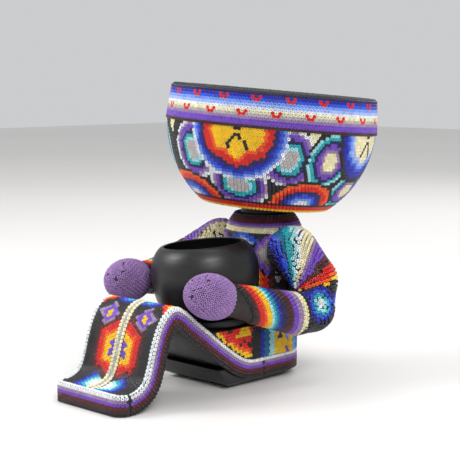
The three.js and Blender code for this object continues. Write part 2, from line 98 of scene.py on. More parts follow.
POT_RADIUS = 30.3
POT_FOOT = 22.2
POT_MOUTH = 21.8
POT_HIGH = 40.6
POT_BELLY = 24.5
POT_WALL = 3.0
SEAT_PAD = 1.8

SHOULDER = 14.0
FOREARM = 11.4
WRIST = 8.5
HAND = 11.7
HAND_LONG = 30.6
HAND_Z = 56.0
HAND_CLEAR = 1.8  # between a hand and the pot

_neck_low, _neck_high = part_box("neck")
_base_low, _base_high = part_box("seat_base")
AXIS = np.array(
    [(_neck_low.x + _neck_high.x) / 2, (_neck_low.y + _neck_high.y) / 2, _base_low.z]
)


def to_row(points):
    """Points in mm from the neck's axis, as row frame points in metres."""
    return np.asarray(points, float) * MM + AXIS


# ---------------------------------------------------------------- colours
SHADES = {
    "black": (14, 13, 18),
    "brown": (62, 24, 24),
    "maroon": (96, 14, 20),
    "red": (222, 24, 10),
    "orange": (244, 92, 8),
    "yellow": (246, 200, 6),
    "cream": (240, 232, 190),
    "white": (232, 236, 238),
    "pale_blue": (168, 190, 244),
    "grey": (188, 184, 182),
    "mauve": (160, 132, 170),
    "purple": (118, 72, 196),
    "navy": (30, 24, 84),
    "deep_blue": (12, 28, 178),
    "blue": (46, 88, 214),
    "light_blue": (126, 160, 240),
    "teal": (10, 112, 150),
    "turquoise": (32, 176, 188),
    "cyan": (168, 226, 232),
    "lavender": (150, 116, 172),
}
NAMES = list(SHADES)
TONE = {name: i for i, name in enumerate(NAMES)}


def linear(rgb):
    """An sRGB colour of 0 to 255 as linear light."""
    c = np.asarray(rgb, float) / 255
    return np.where(c <= 0.04045, c / 12.92, ((c + 0.055) / 1.055) ** 2.4)


LIGHT = np.array([linear(SHADES[name]) for name in NAMES])


def tones(*names):
    return np.array([TONE[name] for name in names])


def steps(distance, *table, ground=-1):
    """The tone of the first limit that the distance is under. Past the last limit it is ground."""
    limits = np.array([limit for limit, _ in table])
    found = np.append(tones(*[name for _, name in table]), ground)
    return found[np.searchsorted(limits, distance, side="right")]


def paint(over, under):
    """Over, where it has a tone, and under elsewhere."""
    return np.where(over >= 0, over, under)


def wrapped(degrees):
    return (np.asarray(degrees) + 180) % 360 - 180


# ---------------------------------------------------------------- rows of beads
class Seats:
    """Where beads sit: places, outward normals and two coordinates for the pattern."""

    def __init__(self, at, out, where):
        self.at = np.asarray(at, float).reshape(-1, 3)
        self.out = np.asarray(out, float).reshape(-1, 3)
        self.where = np.asarray(where, float).reshape(-1, 2)

    def kept(self, mask):
        return Seats(self.at[mask], self.out[mask], self.where[mask])


def joined(parts):
    return Seats(
        np.concatenate([p.at for p in parts]),
        np.concatenate([p.out for p in parts]),
        np.concatenate([p.where for p in parts]),
    )


def strung(at, out, where, pitch, shift, closed, count=None):
    """One row: seats a pitch apart along a line of sampled points, or count of them evenly round it."""
    at, out, where = (np.asarray(a, float) for a in (at, out, where))
    lengths = np.concatenate([[0], np.cumsum(np.linalg.norm(np.diff(at, axis=0), axis=1))])
    whole = lengths[-1]
    if count is None:
        count = max(1, round(whole / pitch)) if closed else max(1, int(whole / pitch))
    spare = 0 if closed else (whole - (count - 1) * pitch) / 2
    step = whole / count if closed else pitch
    along = spare + (np.arange(count) + (shift % 1) * closed) * step
    if not closed and shift % 1:
        along = along[:-1] + pitch / 2

    def sampled(values):
        return np.stack([np.interp(along, lengths, column) for column in values.T], 1)

    normals = sampled(out)
    normals /= np.linalg.norm(normals, axis=1, keepdims=True)
    return Seats(sampled(at), normals, sampled(where))


def tree_of(places):
    tree = kdtree.KDTree(len(places))
    for i, place in enumerate(places):
        tree.insert(place, i)
    tree.balance()
    return tree


def spaced(seats, least):
    """The seats without those nearer than least to one laid before."""
    tree = tree_of(seats.at)
    keep = np.ones(len(seats.at), bool)
    for i, place in enumerate(seats.at):
        if keep[i]:
            for _, j, _ in tree.find_range(place, least):
                if j > i:
                    keep[j] = False
    return seats.kept(keep)


def filled(seats, at, out, least):
    """The seats, with more of them set in any gap between them, from a dense scatter of places."""
    tree = tree_of(seats.at)
    nearest = [tree.find(place) for place in at]
    free = np.array([found[2] > least for found in nearest])
    where = seats.where[[found[1] for found in nearest]]
    return spaced(joined([seats, Seats(at[free], out[free], where[free])]), least)


def scatter(count):
    """Directions spread evenly over a sphere."""
    k = np.arange(count) + 0.5
    z = 1 - 2 * k / count
    turn = k * math.pi * (3 - math.sqrt(5))
    flat = np.sqrt(1 - z * z)
    return np.stack([flat * np.cos(turn), flat * np.sin(turn), z], 1)


# ---------------------------------------------------------------- bead meshes
def settings():
    return bpy.context.scene.beaded_figure


def bead_shape(radius, high, hole):
    """A seed bead with its hole upright, as vertices and faces. Its base is open and lies in the wax."""
    profile = [
        (hole * 0.85, -0.35 * high),
        (hole, 0.62 * high),
        (0.68 * radius, high),
        (0.96 * radius, 0.66 * high),
        (radius, 0.0),
    ]
    bm = bmesh.new()
    line = [bm.verts.new((r, 0, z)) for r, z in profile]
    edges = [bm.edges.new(pair) for pair in zip(line, line[1:])]
    bmesh.ops.spin(
        bm,
        geom=line + edges,
        cent=(0, 0, 0),
        axis=(0, 0, 1),
        angle=2 * math.pi,
        steps=settings().sides,
        use_merge=True,
    )
    bmesh.ops.recalc_face_normals(bm, faces=bm.faces)
    top = max(bm.faces, key=lambda f: f.calc_center_median().z)
    if top.normal.z < 0:
        bmesh.ops.reverse_faces(bm, faces=bm.faces)
    bm.verts.index_update()
    places = np.array([v.co for v in bm.verts])
    faces = np.array([[v.index for v in f.verts] for f in bm.faces])
    bm.free()
    return places, faces


def frames_about(normals, rng):
    """Two unit vectors across each normal, turned at random about it."""
    guide = np.where(np.abs(normals[:, 2:]) < 0.8, [[0.0, 0, 1]], [[1.0, 0, 0]])
    first = np.cross(guide, normals)
    first /= np.linalg.norm(first, axis=1, keepdims=True)
    second = np.cross(normals, first)
    turn = rng.uniform(0, 2 * math.pi, (len(normals), 1))
    a = first * np.cos(turn) + second * np.sin(turn)
    return a, np.cross(normals, a)


def bead_mesh(name, seats, tone, material, rng):
    """One mesh of beads. Each bead has its own colour and its own cell of the map."""
    use = settings()
    shape, faces = bead_shape(use.pitch * 0.5, use.height, use.hole)
    count, corners = len(seats.at), len(shape)
    tilt = rng.normal(0, math.radians(use.tilt), (count, 3))
    normals = seats.out + tilt
    normals /= np.linalg.norm(normals, axis=1, keepdims=True)
    across, beside = frames_about(normals, rng)
    size = rng.normal(1, use.spread, (count, 1, 1)).clip(0.9, 1.07)
    local = shape[None] * size
    places = (
        seats.at[:, None]
        + local[..., :1] * across[:, None]
        + local[..., 1:2] * beside[:, None]
        + local[..., 2:] * normals[:, None]
    )
    mesh = bpy.data.meshes.new(name)
    all_faces = (faces[None] + (np.arange(count) * corners)[:, None, None]).reshape(-1)
    mesh.vertices.add(count * corners)
    mesh.vertices.foreach_set("co", to_row(places.reshape(-1, 3)).ravel())
    mesh.loops.add(len(all_faces))
    mesh.loops.foreach_set("vertex_index", all_faces)
    mesh.polygons.add(len(all_faces) // 4)
    mesh.polygons.foreach_set("loop_start", np.arange(0, len(all_faces), 4))
    mesh.polygons.foreach_set("use_smooth", np.ones(len(all_faces) // 4, bool))
    mesh.update(calc_edges=True)

    grain = rng.normal(1, use.variation, (count, 1)) + rng.normal(0, 0.012, (count, 3))
    colour = np.clip(LIGHT[tone] * grain, 0.002, 1)
    colours = np.ones((count, corners, 4))
    colours[..., :3] = colour[:, None]
    layer = mesh.color_attributes.new("bead_colour", "FLOAT_COLOR", "POINT")
    layer.data.foreach_set("color", colours.ravel())

    side = math.ceil(math.sqrt(count))
    cell = np.stack([np.arange(count) % side, np.arange(count) // side], 1)
    flat = 0.5 + 0.36 * shape[:, :2] / (use.pitch * 0.5)
    coordinates = ((cell[:, None] + flat[None]) / side).reshape(-1, 2)[all_faces]
    uv = mesh.uv_layers.new(name="OFBake")
    uv.data.foreach_set("uv", coordinates.ravel())
    mesh.materials.append(material)
    return mesh


def lay_beads(name, seats, tone, slot, matte=0.0):
    """Beads on their seats, in as many pieces as their number needs."""
    use = settings()
    rng = np.random.default_rng(use.seed + sum(map(ord, name)))
    material = bead_material(slot, matte)
    pieces = math.ceil(len(seats.at) / use.most)
    for k in range(pieces):
        part = slice(k * len(seats.at) // pieces, (k + 1) * len(seats.at) // pieces)
        title = name if pieces == 1 else f"{name}_{k + 1}"
        mesh = bead_mesh(title, seats.kept(part), tone[part], material, rng)
        place_piece(bpy.data.objects.new(title, mesh))


def place_piece(piece):
    bpy.context.scene.collection.objects.link(piece)
    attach(piece, "root")
    return piece


# ---------------------------------------------------------------- materials
def shader(name):
    material = bpy.data.materials.new(name)
    material.use_nodes = True
    return material, material.node_tree.nodes, material.node_tree.links


def noise_node(nodes, links, scale, detail, stretch=(1, 1, 1)):
    """A noise in Object coordinates. Its scale is in waves per metre."""
    where = nodes.new("ShaderNodeTexCoord")
    mapping = nodes.new("ShaderNodeMapping")
    mapping.inputs["Scale"].default_value = stretch
    noise = nodes.new("ShaderNodeTexNoise")
    noise.inputs["Scale"].default_value = scale
    noise.inputs["Detail"].default_value = detail
    links.new(where.outputs["Object"], mapping.inputs["Vector"])
    links.new(mapping.outputs["Vector"], noise.inputs["Vector"])
    return noise


def ranged(nodes, links, source, low, high):
    """A node's value spread from low to high."""
    node = nodes.new("ShaderNodeMapRange")
    node.inputs["From Min"].default_value = 0.3
    node.inputs["From Max"].default_value = 0.7
    node.inputs["To Min"].default_value = low
    node.inputs["To Max"].default_value = high
    links.new(source, node.inputs["Value"])
    return node


def bead_material(slot, matte):
    """Opaque pressed glass: each bead's own colour, a little clouded, under a glassy coat."""
    name = slot.replace("_beads", "_glass")
    if name in bpy.data.materials:
        return bpy.data.materials[name]
    material, nodes, links = shader(name)
    body = nodes["Principled BSDF"]
    own = nodes.new("ShaderNodeAttribute")
    own.attribute_name = "bead_colour"
    cloud = noise_node(nodes, links, 900, 2)
    cloudy = ranged(nodes, links, cloud.outputs["Fac"], 0.86, 1.1)
    mixed = nodes.new("ShaderNodeVectorMath")
    mixed.operation = "SCALE"
    links.new(own.outputs["Color"], mixed.inputs[0])
    links.new(cloudy.outputs["Result"], mixed.inputs["Scale"])
    links.new(mixed.outputs["Vector"], body.inputs["Base Color"])
    body.inputs["Roughness"].default_value = 0.24 + 0.3 * matte
    body.inputs["IOR"].default_value = 1.52
    body.inputs["Coat Weight"].default_value = 0.35 * (1 - matte)
    body.inputs["Coat Roughness"].default_value = 0.08
    return material


def wax_material():
    """Beeswax, dark with faint spots, pressed flat by hand. Its darkness is partly painted shade for the
    gaps between the beads.
    """
    if "beading_wax" in bpy.data.materials:
        return bpy.data.materials["beading_wax"]
    material, nodes, links = shader("beading_wax")
    body = nodes["Principled BSDF"]
    spots = noise_node(nodes, links, 260, 4)
    # Dark wax colours: the wax's own colour and partly painted shade in the gaps between beads.
    ramp = nodes.new("ShaderNodeValToRGB")
    ramp.color_ramp.elements[0].position = 0.35
    ramp.color_ramp.elements[0].color = (*linear((16, 12, 12)), 1)
    ramp.color_ramp.elements[1].position = 0.7
    ramp.color_ramp.elements[1].color = (*linear((38, 28, 24)), 1)
    links.new(spots.outputs["Fac"], ramp.inputs["Fac"])
    links.new(ramp.outputs["Color"], body.inputs["Base Color"])
    body.inputs["Roughness"].default_value = 0.55
    return material


def clay_material():
    """Low-fired black clay, burnished with a stone: cloudy sheen and faint rubbing marks."""
    if "black_clay" in bpy.data.materials:
        return bpy.data.materials["black_clay"]
    material, nodes, links = shader("black_clay")
    body = nodes["Principled BSDF"]
    cloud = noise_node(nodes, links, 60, 5)
    ramp = nodes.new("ShaderNodeValToRGB")
    ramp.color_ramp.elements[0].position = 0.3
    ramp.color_ramp.elements[0].color = (*linear(settings().clay_dark[:]), 1)
    ramp.color_ramp.elements[1].position = 0.75
    ramp.color_ramp.elements[1].color = (*linear(settings().clay_light[:]), 1)
    links.new(cloud.outputs["Fac"], ramp.inputs["Fac"])
    links.new(ramp.outputs["Color"], body.inputs["Base Color"])
    rubbed = noise_node(nodes, links, 120, 3, (1, 1, 5))
    sheen = ranged(nodes, links, rubbed.outputs["Fac"], 0.36, 0.47)
    links.new(sheen.outputs["Result"], body.inputs["Roughness"])
    bump = nodes.new("ShaderNodeBump")
    bump.inputs["Strength"].default_value = 0.12
    bump.inputs["Distance"].default_value = 0.0004
    links.new(rubbed.outputs["Fac"], bump.inputs["Height"])
    links.new(bump.outputs["Normal"], body.inputs["Normal"])
    return material


# ---------------------------------------------------------------- head bowl
def tilted(points, angle, pivot, rise):
    """Points turned by angle towards the tilt's bearing about a height, then lifted."""
    points = np.asarray(points, float) - [0, 0, pivot]
    axis = np.array([-math.sin(TILT_BEARING), math.cos(TILT_BEARING), 0])
    c, s = math.cos(angle), math.sin(angle)
    turned = (
        points * c
        + np.cross(axis, points) * s
        + np.outer(points @ axis, axis) * (1 - c)
    )
    return turned + [0, 0, rise]


def on_neck(points):
    return tilted(points, HEAD_TILT, -FOOT_DROP, NECK_TOP)


def directed_on_neck(vectors):
    return tilted(vectors, HEAD_TILT, 0, 0)


def bowl_line():
    """The bowl's outside from its rim to its foot, as radius and height, with places along it."""
    waist = (BOWL_RADIUS + WAIST_PROUD, -WAIST_DROP)
    return np.array([(RIM_RADIUS, 0.0), waist, (BOWL_RADIUS + BAND_PROUD, -BAND_BOTTOM)])


def belly_angle(drop):
    return math.asin((drop - WAIST_DROP) / BOWL_RADIUS)


def ring_row(radius, height, normal_up, mark, pitch, shift, count=None):
    """A round row about the bowl's axis. normal_up is how steeply its beads face up."""
    turn = np.linspace(0, 2 * math.pi, 181)
    round_ = np.stack([np.cos(turn), np.sin(turn), np.zeros_like(turn)], 1)
    out = round_ * math.cos(normal_up) + [0, 0, math.sin(normal_up)]
    at = round_ * radius + [0, 0, height]
    where = np.stack([np.degrees(turn), np.full_like(turn, mark)], 1)
    return strung(on_neck(at), directed_on_neck(out), where, pitch, shift, True, count)


BEADS_ROUND = 180  # in every row of the band
LIP_ROWS = ((3.0, -0.15, 88, 0.5), (1.0, -0.35, 58, 0))  # inset, height, degrees up, shift
BAND_FIRST = 1.3  # from the rim down to the band's first row
BAND_SPARE = 2.1
BAND_ROWS = (
    "navy", "deep_blue", "blue", "light_blue", "pale_blue", "white", "cream", "grey", "mauve",
    "purple", "purple", "brown",
)
CHEVRONS = ((1, -57), (6, -46))  # first row, and bearing of one of them
CHEVRONS_ROUND = 20


def band_seats():
    """Rows from the lip's top edge down to the foot of the rim band."""
    use = settings()
    rows = [
        ring_row(RIM_RADIUS - inset, height, math.radians(up), mark, use.pitch, shift)
        for mark, (inset, height, up, shift) in zip((-2, -1), LIP_ROWS)
    ]
    line = bowl_line()
    lengths = np.concatenate([[0], np.cumsum(np.linalg.norm(np.diff(line, axis=0), axis=1))])
    last = len(BAND_ROWS) - 1
    for k in range(last + 1):
        along = BAND_FIRST + k * (lengths[-1] - BAND_SPARE) / last
        radius = np.interp(along, lengths, line[:, 0])
        height = np.interp(along, lengths, line[:, 1])
        rows.append(ring_row(radius - SINK, height, -0.04, k, use.pitch, 0.5 * (k % 2), BEADS_ROUND))
    return joined(rows)


def band_tone(seats):
    """Shaded rows with two staggered rows of small red chevrons."""
    turn, row = seats.where[:, 0], np.rint(seats.where[:, 1]).astype(int)
    tone = tones(*BAND_ROWS)[np.clip(row, 0, len(BAND_ROWS) - 1)]
    bead, each = 360 / BEADS_ROUND, 360 / CHEVRONS_ROUND
    for first_row, bearing in CHEVRONS:
        away = np.abs((turn - bearing + each / 2) % each - each / 2) / bead
        arms = (row == first_row) & (away > 0.8) & (away < 1.2)
        foot = (row == first_row + 1) & (away < 0.7)
        tone = np.where(arms | foot, TONE["red"], tone)
    return np.where(row < 0, TONE["black"], tone)


def field_seats():
    use = settings()
    low, high = belly_angle(BAND_BOTTOM + 0.8), belly_angle(FOOT_DROP - 0.4)
    count = round((high - low) * BOWL_RADIUS / (use.pitch * use.nesting))
    rows = []
    for k in range(count + 1):
        a = low + (high - low) * k / count
        radius = (BOWL_RADIUS - SINK) * math.cos(a)
        height = -WAIST_DROP - (BOWL_RADIUS - SINK) * math.sin(a)
        along = (a - low) * BOWL_RADIUS
        rows.append(ring_row(radius, height, -a, along, use.pitch, 0.5 * (k % 2)))
    return joined(rows)


ROSETTES = (-65.7, 17.0, 105.5, 194.0)  # bearings, from +X towards +Y
WARM = (
    (15.6, "yellow"), (17.5, "orange"), (20.6, "red"), (22.4, "navy"), (24.2, "deep_blue"),
    (25.9, "blue"), (27.7, "light_blue"), (29.3, "white"),
)
COOL = (
    (14.6, "cream"), (16.6, "pale_blue"), (18.4, "light_blue"), (20.2, "blue"),
    (23.4, "deep_blue"), (25.2, "navy"), (26.8, "black"),
)
WARM_PETAL = (
    (3.9, "grey"), (5.2, "cyan"), (7.4, "turquoise"), (9.4, "navy"), (11.6, "purple"),
    (13.3, "mauve"), (14.9, "white"),
)
COOL_PETAL = (
    (3.9, "cream"), (5.6, "mauve"), (7.8, "purple"), (9.9, "navy"), (11.6, "turquoise"),
    (13.2, "cyan"), (14.8, "black"),
)
PETAL_REACH = 32.5
PETAL_HALF = 2.4  # half the length of a petal's core, across its stem
PETAL_BEARINGS = (26.0, 90.0, 154.0)  # from the sideways direction, downwards
FAN = (
    (0.24, "white"), (0.38, "light_blue"), (0.50, "blue"), (0.60, "deep_blue"), (0.71, "navy"),
    (0.86, "red"), (1.00, "orange"), (1.10, "black"),
)
FAN_HIGH = 16.0
EDGE_ROWS = ((0.9, "yellow"), (2.6, "red"), (4.4, "red"), (6.2, "black"))


def petals(across, down, table):
    """Long petals round a rosette, as rings about a short line that lies square to their stem."""
    nearest = np.full(across.shape, 1e9)
    for bearing in np.radians(PETAL_BEARINGS):
        stem = across * math.cos(bearing) + down * math.sin(bearing) - PETAL_REACH
        side = -across * math.sin(bearing) + down * math.cos(bearing)
        nearest = np.minimum(nearest, np.hypot(stem, np.maximum(np.abs(side) - PETAL_HALF, 0)))
    return steps(nearest, *table)


PINCH, PINCH_BEARING, PINCH_WIDTH = 2.6, 63, 14  # how far, and where, rings are drawn in
PINCH_END, PINCH_FADE = 24, 8


def rosette(across, down, table):
    """Rings whose inner edges are drawn in where the two dashes meet them."""
    radius = np.hypot(across, down)
    bearing = np.degrees(np.arctan2(down, np.abs(across)))
    faded = np.clip((PINCH_END - radius) / PINCH_FADE, 0, 1)
    pulled = PINCH * np.exp(-(((bearing - PINCH_BEARING) / PINCH_WIDTH) ** 2)) * faded
    return steps(radius + pulled, *table)


def dashes(across, down):
    """Two short lines that lean outwards from a rosette's middle, and a small mark above them."""
    bead = settings().pitch / 2
    lean = np.abs(np.abs(across) - 1.6 - (down - 3.0) * 0.577)
    line = (lean < bead) & (down > 2.6) & (down < 11.2)
    mark = (np.abs(across) < 2 * bead) & (down < 0.4)
    return np.where(line | mark, TONE["black"], -1)


def field_tone(seats):
    """Half rosettes hung from the band, petals round them, fans between them and rows at the foot."""
    turn, along = seats.where[:, 0], seats.where[:, 1]
    deepest = along.max()
    radius = BOWL_RADIUS * np.cos(along / BOWL_RADIUS + belly_angle(BAND_BOTTOM))
    down = along - 0.6
    tone = np.full(turn.shape, TONE["black"])
    across = [np.radians(wrapped(turn - bearing)) * radius for bearing in ROSETTES]
    for k, here in enumerate(across):
        tone = paint(petals(here, down, COOL_PETAL if k % 2 else WARM_PETAL), tone)
    for bearing, after in zip(ROSETTES, (*ROSETTES[1:], ROSETTES[0] + 360)):
        between = after - bearing
        away = wrapped(turn - bearing - between / 2)
        wedge = np.radians(np.abs(away)) * radius < 3.4 * (1 - along / 7.4)
        tone = np.where(wedge, TONE["cream"], tone)
        up = deepest - 6.2 - along
        fan = np.hypot((away - 4) / (0.29 * between), up / FAN_HIGH)
        tone = paint(steps(np.where(up > -1, fan, 9), *FAN), tone)
    for k, here in enumerate(across):
        tone = paint(rosette(here, down, COOL if k % 2 else WARM), tone)
        tone = paint(np.where(np.hypot(here, down) < 14.4, dashes(here, down), -1), tone)
    return paint(steps(deepest - along, *EDGE_ROWS), tone)


def foot_seats():
    use = settings()
    rise = use.pitch * use.nesting
    inner, outer = NECK_RADIUS + 2.4, BOWL_FOOT - 0.9
    count = int((outer - inner) / rise)
    rows = []
    for k in range(count + 1):
        radius = outer - k * rise
        height = -FOOT_DROP + SINK
        rows.append(ring_row(radius, height, -math.pi / 2, k, use.pitch, 0.5 * (k % 2)))
    return joined(rows)


FOOT_ROWS = (
    "yellow", "navy", "maroon", "black", "navy", "deep_blue", "blue", "light_blue", "white",
    "black",
)


def foot_tone(seats):
    row = np.rint(seats.where[:, 1]).astype(int)
    return tones(*FOOT_ROWS)[np.clip(row, 0, len(FOOT_ROWS) - 1)]


# ---------------------------------------------------------------- torso
def torso_stations():
    """Heights, middles and half-widths down the torso, starting on the flat by the neck."""
    return np.array(
        [
            (COLLAR_TOP, 0, COLLAR_RADIUS - 2.6, COLLAR_RADIUS - 2.6),
            (COLLAR_TOP, 0, COLLAR_RADIUS - 0.4, COLLAR_RADIUS - 0.4),
            (88.6, 0, COLLAR_RADIUS + 2.9, COLLAR_RADIUS + 1.2),
            (85.1, 0, TORSO_HALF_X - 2.9, TORSO_HALF_Y + 1.5),
            (79.9, -0.6, TORSO_HALF_X, TORSO_HALF_Y + 1.5),
            (72.9, -1.2, TORSO_HALF_X + 0.6, TORSO_HALF_Y + 0.6),
            (61.2, 2.3 - TORSO_LEAN, TORSO_HALF_X, TORSO_HALF_Y),
            (46.6, 1.2 - TORSO_LEAN, TORSO_HALF_X, TORSO_HALF_Y - 1.2),
            (LAP_Z, -TORSO_LEAN, TORSO_HALF_X, TORSO_HALF_Y - 2),
        ]
    )


def torso_seats():
    """Oval rows from the neck down to the lap, left out where the arms and the hips cover them."""
    use = settings()
    stations = torso_stations()
    rise = np.hypot(np.diff(stations[:, 0]), np.diff(stations[:, 2]))
    lengths = np.concatenate([[0], np.cumsum(rise)])
    turn = np.linspace(0, 2 * math.pi, 145)
    rows = []
    k = 0
    along = 0.7
    while along < lengths[-1] - 0.9:
        z, y, half_x, half_y = (np.interp(along, lengths, column) for column in stations.T)
        after = [np.interp(along + 0.5, lengths, column) for column in stations.T]
        before = [np.interp(along - 0.5, lengths, column) for column in stations.T]
        slope = math.atan2(after[2] - before[2], before[0] - after[0])
        out = np.stack([np.cos(turn) / half_x, np.sin(turn) / half_y, 0 * turn], 1)
        out /= np.linalg.norm(out, axis=1, keepdims=True)
        out = out * math.cos(slope) + [0, 0, math.sin(slope)]
        at = np.stack([half_x * np.cos(turn), y + half_y * np.sin(turn), 0 * turn + z], 1)
        where = np.stack([np.degrees(turn), np.full_like(turn, along)], 1)
        rows.append(strung(at - out * SINK, out, where, use.pitch, 0.5 * (k % 2), True))
        along += use.pitch * use.nesting
        k += 1
    seats = joined(rows)
    arms = [left_arm(), right_arm()]
    free = np.ones(len(seats.at), bool)
    for arm in arms:
        free &= limb_distance(seats.at, arm["sleeve"]) > 0.4
    free &= seats.at[:, 2] > LAP_Z + 0.4
    return seats.kept(free)


COLLAR_ROWS = ("black", "black", "brown", "maroon", "maroon", "purple", "mauve", "cream", "cream")


CHEST_RADIUS = 21.0  # turns degrees round the torso into distances across it
BREAST_WEDGE = ((0.42, "white"), (0.62, "light_blue"), (1.0, "blue"))
SHOULDER_BAR = ((4.6, "grey"), (6.4, "mauve"), (8.4, "purple"), (10.0, "black"))
BREAST_ROSETTE = (
    (3.0, "purple"), (5.0, "white"), (9.6, "yellow"), (11.4, "orange"), (14.4, "red"),
    (17.0, "maroon"), (18.8, "black"),
)
BACK_ROSETTE = (
    (3.2, "purple"), (6.0, "yellow"), (8.0, "orange"), (10.4, "red"), (12.2, "navy"),
    (14.2, "deep_blue"), (15.9, "blue"), (17.6, "light_blue"), (19.2, "white"), (21.0, "black"),
    (22.8, "purple"), (24.6, "mauve"),
)
TWIG = ((23.6, 66.3), (18.4, 60.4), (19.8, 55.0), (25.2, 62.2))


def from_line(x, z, points):
    """How far places lie from a line of points."""
    nearest = np.full(x.shape, 1e9)
    for (ax, az), (bx, bz) in zip(points, points[1:]):
        dx, dz = bx - ax, bz - az
        t = np.clip(((x - ax) * dx + (z - az) * dz) / (dx * dx + dz * dz), 0, 1)
        nearest = np.minimum(nearest, np.hypot(x - ax - t * dx, z - az - t * dz))
    return nearest


def shirt_tone(seats):
    """Collar rings, a rosette and a wedge on the breast, bars over the shoulders, a rosette behind."""
    turn, along = seats.where[:, 0], seats.where[:, 1]
    z = seats.at[:, 2]
    row = np.floor(along / (settings().pitch * settings().nesting)).astype(int)
    front = np.abs(wrapped(turn + 90))
    across = np.radians(front) * CHEST_RADIUS
    tone = np.full(turn.shape, TONE["black"])
    behind = steps(np.hypot(np.radians(180 - front) * CHEST_RADIUS, z - 60), *BACK_ROSETTE)
    tone = paint(np.where(front > 100, behind, -1), tone)
    tone = paint(steps(np.hypot(across, z - 54.5), *BREAST_ROSETTE), tone)
    tone = paint(steps(across / 11.5 + np.abs(z - 75.6) / 8.0, *BREAST_WEDGE), tone)
    u = (across - 20.9) * 0.74 + (z - 75.7) * 0.67
    v = (z - 75.7) * 0.74 - (across - 20.9) * 0.67
    bar = np.maximum(np.abs(v), np.abs(u) - 8.6)
    tone = paint(np.where(front < 110, steps(bar, *SHOULDER_BAR), -1), tone)
    tone = np.where(from_line(across, z, TWIG) < 0.95, TONE["white"], tone)
    collar = tones(*COLLAR_ROWS)[np.clip(row, 0, len(COLLAR_ROWS) - 1)]
    return np.where(row < len(COLLAR_ROWS), collar, tone)


# ---------------------------------------------------------------- arms
POT_Y = 2.3 - TORSO_LEAN - TORSO_HALF_Y - 0.6 - POT_RADIUS
POT_TILT = math.radians(5)
POT_BOTTOM = LAP_Z + SEAT_PAD + 0.3 + POT_FOOT * math.sin(POT_TILT)
FOREARM_X = (
    POT_RADIUS + FOREARM + 1.2 + POT_BELLY * math.sin(POT_TILT) * math.cos(TILT_BEARING) / 2
)


def limb(side, bearing, elbow, forearm, crease, burst):
    """An arm: balls of x, y, z and radius, its hand's place and direction, and its motifs' places."""
    bearing = math.radians(bearing)
    aslant = math.hypot(HAND * math.cos(bearing), HAND_LONG / 2 * math.sin(bearing))
    reach = POT_RADIUS + aslant + HAND_CLEAR
    hand = np.array([side * reach * math.cos(bearing), POT_Y - reach * math.sin(bearing), HAND_Z])
    start = np.array(forearm[:3])
    back = (start - hand) / np.linalg.norm(start - hand)
    to_wrist = HAND_LONG / 2 * math.sqrt(1 - (WRIST / HAND) ** 2)
    wrist = (*(hand + back * to_wrist), WRIST)
    shoulder = (side * (TORSO_HALF_X + 2.3), -7, 72.3, SHOULDER)
    sleeve = np.array([shoulder, *elbow, forearm], float)
    return {
        "side": side,
        "sleeve": sleeve,
        "forearm": np.array([forearm, wrist], float),
        "hand": hand,
        "back": back,
        "crease": crease,
        "burst": burst,
    }


def left_arm():
    elbow = [(FOREARM_X - 1.7, -4.7, 57.1, 12.8), (FOREARM_X, -8.2, 41.4, 12.2)]
    crease, burst = (41.0, -19.0, 52.0), (54.2, -12.8, 45.6)
    return limb(1, 41, elbow, (FOREARM_X, -21, 40.2, FOREARM), crease, burst)


def right_arm():
    elbow = [(0.6 - FOREARM_X, -21, 60.6, 12.8)]
    crease, burst = (-24.0, -24.0, 58.0), (-57.0, -30.0, 56.0)
    return limb(-1, 32, elbow, (-FOREARM_X, -36, 54.8, FOREARM), crease, burst)


def limb_distance(points, balls, soft=2.0):
    """How far points lie outside a chain of balls joined by tapered tubes, with softened creases."""
    whole = None
    for a, b in zip(balls, balls[1:]):
        line = b[:3] - a[:3]
        share = np.clip((points - a[:3]) @ line / (line @ line), 0, 1)
        radius = a[3] + (b[3] - a[3]) * share
        away = np.linalg.norm(points - a[:3] - share[:, None] * line, axis=1) - radius
        if whole is None:
            whole = away
        else:
            mix = np.clip(0.5 + 0.5 * (whole - away) / soft, 0, 1)
            whole = whole * (1 - mix) + away * mix - soft * mix * (1 - mix)
    return whole


def limb_normals(points, balls):
    step = 0.05
    slope = [
        limb_distance(points + step * axis, balls) - limb_distance(points - step * axis, balls)
        for axis in np.eye(3)
    ]
    slope = np.stack(slope, 1)
    return slope / np.linalg.norm(slope, axis=1, keepdims=True)


def smooth_path(balls, count):
    """Sampled middles along a chain of balls, with rounded corners, and their directions."""
    places = np.array([b[:3] for b in balls])
    lengths = np.concatenate([[0], np.cumsum(np.linalg.norm(np.diff(places, axis=0), axis=1))])
    along = np.linspace(0, lengths[-1], count)
    line = np.stack([np.interp(along, lengths, column) for column in places.T], 1)
    for _ in range(count // 3):
        line[1:-1] = (line[:-2] + line[2:] + 2 * line[1:-1]) / 4
    ahead = np.gradient(line, axis=0)
    return line, ahead / np.linalg.norm(ahead, axis=1, keepdims=True)


